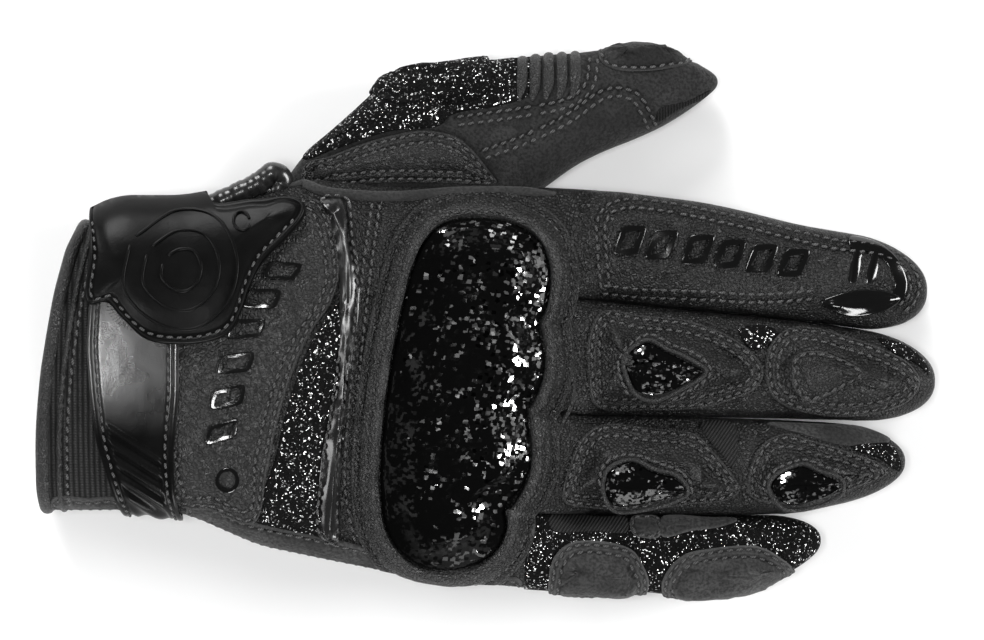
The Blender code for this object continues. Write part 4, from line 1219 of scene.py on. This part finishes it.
def make_thumb():
    form = DIGITS["thumb"]
    pad("thumb_gusset_leather", GUSSET_TOP + [(-4, 38.2), (-14.5, 38.6), (-31, 38.6), (-44, 37.6), (-53, 39)],
        [(-44, 42), (-20, 46), (-8, 43)], form, "thumb_root", SOFT_LEATHER, height=0.6, crown=0.4, margin=3,
        rows=(1.2, 3.4), replaces=("thumb_gusset",))
    pad(
        "thumb_glitter_panel",
        [(-53, 45.5), (-44, 48), (-28.5, 53), (-14.5, 54.6), (-11, 57.6), (2.5, 60.2), (10, 63), (11, 70),
         (10.6, 78), (-5, 77), (-20, 75), (-32, 70), (-44, 58)],
        [(-44, 51), (-20, 62), (2, 68)], form, "thumb_root", GLITTER, height=0.5, crown=0.6, margin=2
    )
    pad(
        "thumb_knuckle_bump",
        [(-32, 62.6), (-33.5, 66), (-29, 69.6), (-20, 72), (-7.5, 74), (-1.5, 74), (0, 69), (-0.6, 65),
         (-6, 62), (-17, 61), (-27, 60.6)],
        [(-26, 66), (-6, 68)], form, "thumb_root", GLITTER, height=1.0, crown=1.8, margin=0.4, reach=5,
        base=0.8, sink=-0.2, fill=0.8, replaces=("thumb_knuckle_pad",)
    )
    for i in range(5):
        x = 8.6 + 3.7 * i
        move = "thumb_root" if x < CUTS["thumb"] else "thumb_tip"
        line = [(x - 1.0, 61.4 + 0.25 * i), (x - 0.2, 66), (x, 70), (x, 78)]
        roll(f"thumb_rib_{i + 1}", line, form, move, 1.75, SOFT_LEATHER, lift=0.0, flat=0.75, taper=6,
             replaces={0: ("thumb_rib_base",), 3: ("thumb_rib_tip",)}.get(i, ()))
    pad(
        "thumb_nail_pad_suede",
        [(30.5, 73), (34, 70.6), (41, 70), (49, 70.8), (56, 73), (54, 80), (40, 82), (31, 80)],
        [(38, 75), (48, 75)], form, "thumb_tip", SUEDE, height=0.6, crown=1.6, margin=1.4, reach=3.5,
        rows=(0.9,), fill=0.6, replaces=("thumb_nail_pad",)
    )
    pad("thumb_dark_strip", [(46.5, 56), (52, 59), (60, 63), (61.5, 65), (55, 61.8), (46.5, 59.2)],
        [(49, 58.4), (57, 62)], form, "thumb_tip", KNIT_DARK, height=0.3, step=0.6)
    sew_on(form, "thumb", THUMB_SEAM, rows=(0, -2.3), split=CUTS["thumb"])
    sew_on(form, "thumb", THUMB_LOW, rows=(0, -2.3), split=CUTS["thumb"])


def strap_left(y):
    return rounded(
        y,
        [(40, -108.6), (34, -108.8), (20, -110.5), (-5, -112), (-19, -111), (-33, -109.4), (-50, -104.4),
         (-58, -99)],
        3
    )


def strap_right(y):
    return rounded(y, [(40, -86.4), (-20, -86.6), (-36, -88.2), (-48, -87.8), (-58, -84.2)], 3)


STRAP_MIDDLE, STRAP_LIFT, STRAP_WALL = -97.0, 1.7, 1.3
STRAP_ROUND, STRAP_ACROSS = 300, 60  # how many points round the wrist and across the strap
STRAP_RIBS = (-32, 27)  # the strap is ribbed below the first y and above the second
RIB_SLANT, RIB_PITCH, RIB_HEIGHT = 0.62, 3.9, 0.45


def make_strap():
    """The flat coated strap round the wrist, its edges bound and its ends ribbed."""
    across = np.linspace(0, 1, STRAP_ACROSS)
    c, s = CUFF_FORM.ring(STRAP_MIDDLE, STRAP_ROUND)
    mid, half, _, _ = CUFF_FORM.section(np.array([STRAP_MIDDLE]))
    y = mid + half * c
    left, right = strap_left(y), strap_right(y)
    x = left[None] + (right - left)[None] * across[:, None]
    points = CUFF_FORM.place(x, np.broadcast_to(c, x.shape), np.broadcast_to(s, x.shape))
    normals = grid_normals(points)
    from_edge = np.minimum(across, 1 - across)[:, None] * (right - left)[None]
    bead = 0.3 * np.exp(-(((from_edge - 0.8) / 0.7) ** 2)) - 0.3 * np.exp(-(((from_edge - 2.4) / 0.45) ** 2))
    leant = RIB_SLANT * (points[..., 0] + 98)
    ribs = np.sin((points[..., 1] + leant) * 2 * math.pi / RIB_PITCH)
    low, high = STRAP_RIBS
    ribbed = smooth((low - points[..., 1] - leant) / 2) + smooth((points[..., 1] - high) / 2)
    inner_part = smooth((from_edge - 3) / 1.2)
    lift = STRAP_LIFT + bead + RIB_HEIGHT * ribs * np.clip(ribbed, 0, 1) * inner_part
    points = points + normals * lift[..., None]
    points[..., 2] = np.maximum(points[..., 2], 0.05)
    shell("wrist_strap", points, grid_normals(points), STRAP_WALL, "cuff", [STRAP], replaces=("strap_band",))
    back = s > 0.05
    for edge in (0.11, 0.89):
        row = int(edge * (STRAP_ACROSS - 1))
        picked = points[row][back][::-1]
        sew("cuff", picked + [0, 0, 0.1], grid_normals(points)[row][back][::-1])


TAB = [(-109, 33), (-96, 34), (-79.7, 33.6), (-78, 30.6), (-66, 31.8), (-55, 32.8), (-51.6, 31),
       (-52, 28.4), (-56.4, 22.8), (-63.4, 15.8), (-67.1, 8.8), (-69.6, 1.8), (-72.4, -3), (-77.5, -5.4),
       (-86.4, -6.4), (-95.6, -5), (-102.4, 1), (-106.3, 5), (-111.6, 4.6), (-111, 18)]


TAB_SEWN_BELOW = 28.5  # the tab's hinge side and narrow tip, above this y, have no stitches


def make_tab():
    """The moulded tab that closes the strap: its hook backing, the loop pad under it and raised contours."""
    pad("strap_tab_moulded", TAB, [(-100, 14), (-84, 14), (-62, 27)], CUFF_FORM, "flap", RUBBER, height=1.6,
        edge=0.8, crown=0.35, margin=3, reach=6, rows=(1.9,), base=3.0, sink=-2.1, replaces=("strap_tab",))
    where, up, run = SEWN["flap"].pop()
    kept = where[:, 1] < TAB_SEWN_BELOW
    SEWN["flap"].append((where[kept], up[kept], run[kept]))
    backing_end = -70
    backing = [(min(x, backing_end) * 0.985 - 1.3, y * 0.93 + 1) for x, y in TAB]
    pad("strap_tab_backing", backing, [(-100, 14), (-84, 14), (-75, 20)],
        CUFF_FORM, "flap", TUFTS, height=0.5, edge=0.3, base=2.3, sink=-1.9,
        replaces=("strap_backing", "hook_pad"))
    pad(
        "strap_loop_pad", [(-106, 2), (-104, 20), (-92, 21), (-91, 0), (-99, -3)], [(-99, 4), (-98, 15)],
        CUFF_FORM, "cuff", TUFTS, height=0.35, edge=0.2, base=1.35, sink=-0.9, replaces=("loop_pad",)
    )
    nested = np.array(
        [(-100, 21), (-88, 27.5), (-76, 26.5), (-70.5, 17), (-73, 5), (-82, -2), (-93, -0.5), (-101.5, 8)]
    )
    middle = np.array([-86.0, 13.5])
    for i, share in enumerate((1.0, 0.68, 0.36)):
        line = middle + (nested - middle) * share
        line = np.vstack([line, line[:1]]).tolist()
        roll(f"tab_contour_{i + 1}", line, CUFF_FORM, "flap", 0.42, RUBBER, lift=12.4, flat=0.6, taper=2)
    angles = np.linspace(0, 2 * math.pi, 13)
    ring = [(-69 + 2.3 * math.cos(a), 26 + 2.3 * math.sin(a)) for a in angles]
    roll("tab_small_ring", ring, CUFF_FORM, "flap", 0.4, RUBBER, lift=13.0, flat=0.6, taper=0.5)


def make_cuff_edges(body_points):
    """The bound mouth of the cuff and the braided binding beside the thumb."""
    mouth = body_points[0]
    centre = mouth.mean(axis=0)
    outward = unit((mouth - centre) * [0, 1, 1])
    tube("cuff_mouth_binding", mouth - outward * 0.6 + [-0.2, 0, 0], outward, 1.9, "cuff", SOFT_LEATHER,
         closed=True, replaces=("cuff_binding",))
    second = body_points[6]  # a ring of the skin a little inside the mouth
    tube("cuff_mouth_bead", second - outward * 0.1, outward, 0.9, "cuff", SOFT_LEATHER, closed=True)
    top = second[(second[:, 2] > 20)][::-1]
    sew("cuff", top + [2.2, 0, 1.0], np.tile([0, 0, 1.0], (len(top), 1)))
    braid = [(-80, 31.6, 19), (-71, 35.6, 20), (-65, 38.6, 19.8), (-61, 41.4, 19.4), (-58.4, 40, 18.6),
             (-60, 36.4, 18)]
    line = trace(braid, 0.5)
    along = np.linspace(0, 1, len(line))
    turns = along * len(line) * 0.5
    size = 3.1 * (
        1 + 0.025 * np.sin(turns * 2 * math.pi / 2.3) + 0.03 * np.sin(turns * 2 * math.pi / 5.3 + 1)
    )
    tube("gusset_binding_braid", line, np.tile([0, 0, 1.0], (len(line), 1)), size, "cuff", PIPING,
         replaces=("gusset_binding",))
    pad("cuff_bottom_suede", [(-122, -49), (-112, -49), (-104, -49), (-102, -56), (-112, -58), (-122, -58)],
        [(-119, -53), (-106, -53)], BODY, "cuff", PALE_SUEDE, height=0.6, rows=(1.2,))


def make_palm():
    """The palm: a grip patch, a slider, the strap's anchor and seams."""
    low = dict(side=-1, sink=0.4)
    pad("palm_grip_patch_suede", [(9, -2), (6, -25), (-6, -28), (-18, -24), (-21, -12), (-17, -2), (-4, 1)],
        [(-12, -12), (0, -12)], BODY, "hand", PALE_SUEDE, height=0.9, rows=(1.4, 3.4), crown=0.4,
        replaces=("palm_grip_patch",), **low)
    pad(
        "palm_slider_plate",
        [(-10, -36), (-9.6, -46), (-14, -53), (-28, -54), (-40, -51), (-42.5, -43), (-38, -33.5),
         (-24, -32)],
        [(-32, -43), (-19, -43)], BODY, "hand", SLIDER, height=1.3, edge=1.0, crown=0.25, margin=2,
        replaces=("palm_slider",), **low
    )
    pad(
        "strap_anchor_patch", [(-110, 18), (-88, 19), (-88, -38), (-108, -40)], [(-99, 8), (-99, -28)],
        BODY, "cuff", SOFT_LEATHER, height=0.5, rows=(1.6,), base=1.0, replaces=("strap_anchor",), **low
    )
    for path in ([(-50, 20), (-20, 30), (5, 32), (16, 30)], [(-46, -24), (-20, -30), (4, -33), (14, -34)],
                 [(14, 24), (6, 4), (10, -20), (6, -44), (2, -66)]):
        sew_on(BODY, "body", path, 0.1, rows=(0, 2.2), side=-1)
    for name in ("index", "middle", "ring", "little"):
        form = DIGITS[name]
        for centre, move in ((CUTS[name] - 14, name + "_root"), (form.cap - 8, name + "_tip")):
            mid, half, _, _ = form.section(np.array([float(centre)]))
            y, w = float(mid[0]), float(half[0]) * 0.62
            outline = [(centre - 10, y - w), (centre - 10, y + w), (centre + 9, y + w), (centre + 9, y - w)]
            pad(f"{name}_grip_{'base' if move.endswith('_root') else 'tip'}", corner_cut(outline, 3),
                [(centre - 4, y), (centre + 4, y)], form, move, PALE_SUEDE, height=0.5, rows=(1.2,), **low)


# ---------------------------------------------------------------- floor, light and camera


def make_stage():
    ground = bpy.data.meshes.new("pale_floor")
    size = 3.0
    corners = [(-size, -size, 0), (size, -size, 0), (size, size, 0), (-size, size, 0)]
    ground.from_pydata(corners, [], [(0, 1, 2, 3)])
    ground.materials.append(floor_look())
    floor = bpy.data.objects.new("pale_floor", ground)
    floor.location.z = -0.0004
    bpy.context.scene.collection.objects.link(floor)
    lamps = (
        ("overhead", (-0.25, -0.02, 1.7), 0.24, 7.5),
        ("thumb_side", (-0.35, 1.2, 0.62), 0.6, 19.0),
        ("finger_side", (1.25, 0.15, 0.6), 0.5, 18.0),
        ("little_side", (0.15, -1.3, 0.42), 0.5, 15.0),
        ("cuff_side", (-1.25, -0.2, 0.55), 0.6, 10.0),
    )
    for name, place, width, power in lamps:
        light = bpy.data.lights.new(name, "AREA")
        light.shape, light.size, light.energy = "SQUARE", width, power
        lamp = bpy.data.objects.new(name, light)
        lamp.location = place
        lamp.rotation_euler = (-lamp.location).to_track_quat("-Z", "Y").to_euler()
        bpy.context.scene.collection.objects.link(lamp)
    world = bpy.data.worlds.new("studio")
    bpy.context.scene.world = world
    world.use_nodes = True
    background = world.node_tree.nodes["Background"]
    background.inputs["Color"].default_value = (1, 1, 1, 1)
    background.inputs["Strength"].default_value = 0.11


def make_camera():
    """Straight above the glove, far enough back that it hardly narrows with height."""
    data = bpy.data.cameras.new("camera")
    data.lens, data.sensor_width = 200.0, 36.0
    camera = bpy.data.objects.new("camera", data)
    width, middle_height = 275.5, 15.0  # the view is that wide at that height
    distance = width * data.lens / data.sensor_width
    camera.location = (0.14 * MM, 0.42 * MM, (distance + middle_height) * MM)
    bpy.context.scene.collection.objects.link(camera)
    bpy.context.scene.camera = camera
    bpy.context.scene.view_settings.view_transform = "Standard"


body_points = make_body()
for digit in DIGITS:
    make_digit(digit)
make_guard()
make_back()
make_finger_pads()
make_index_prints()
make_wrist_prints()
make_thumb()
make_strap()
make_tab()
make_cuff_edges(body_points)
make_palm()
for move in sorted(SEWN):
    make_thread(move)
make_stage()
make_camera()
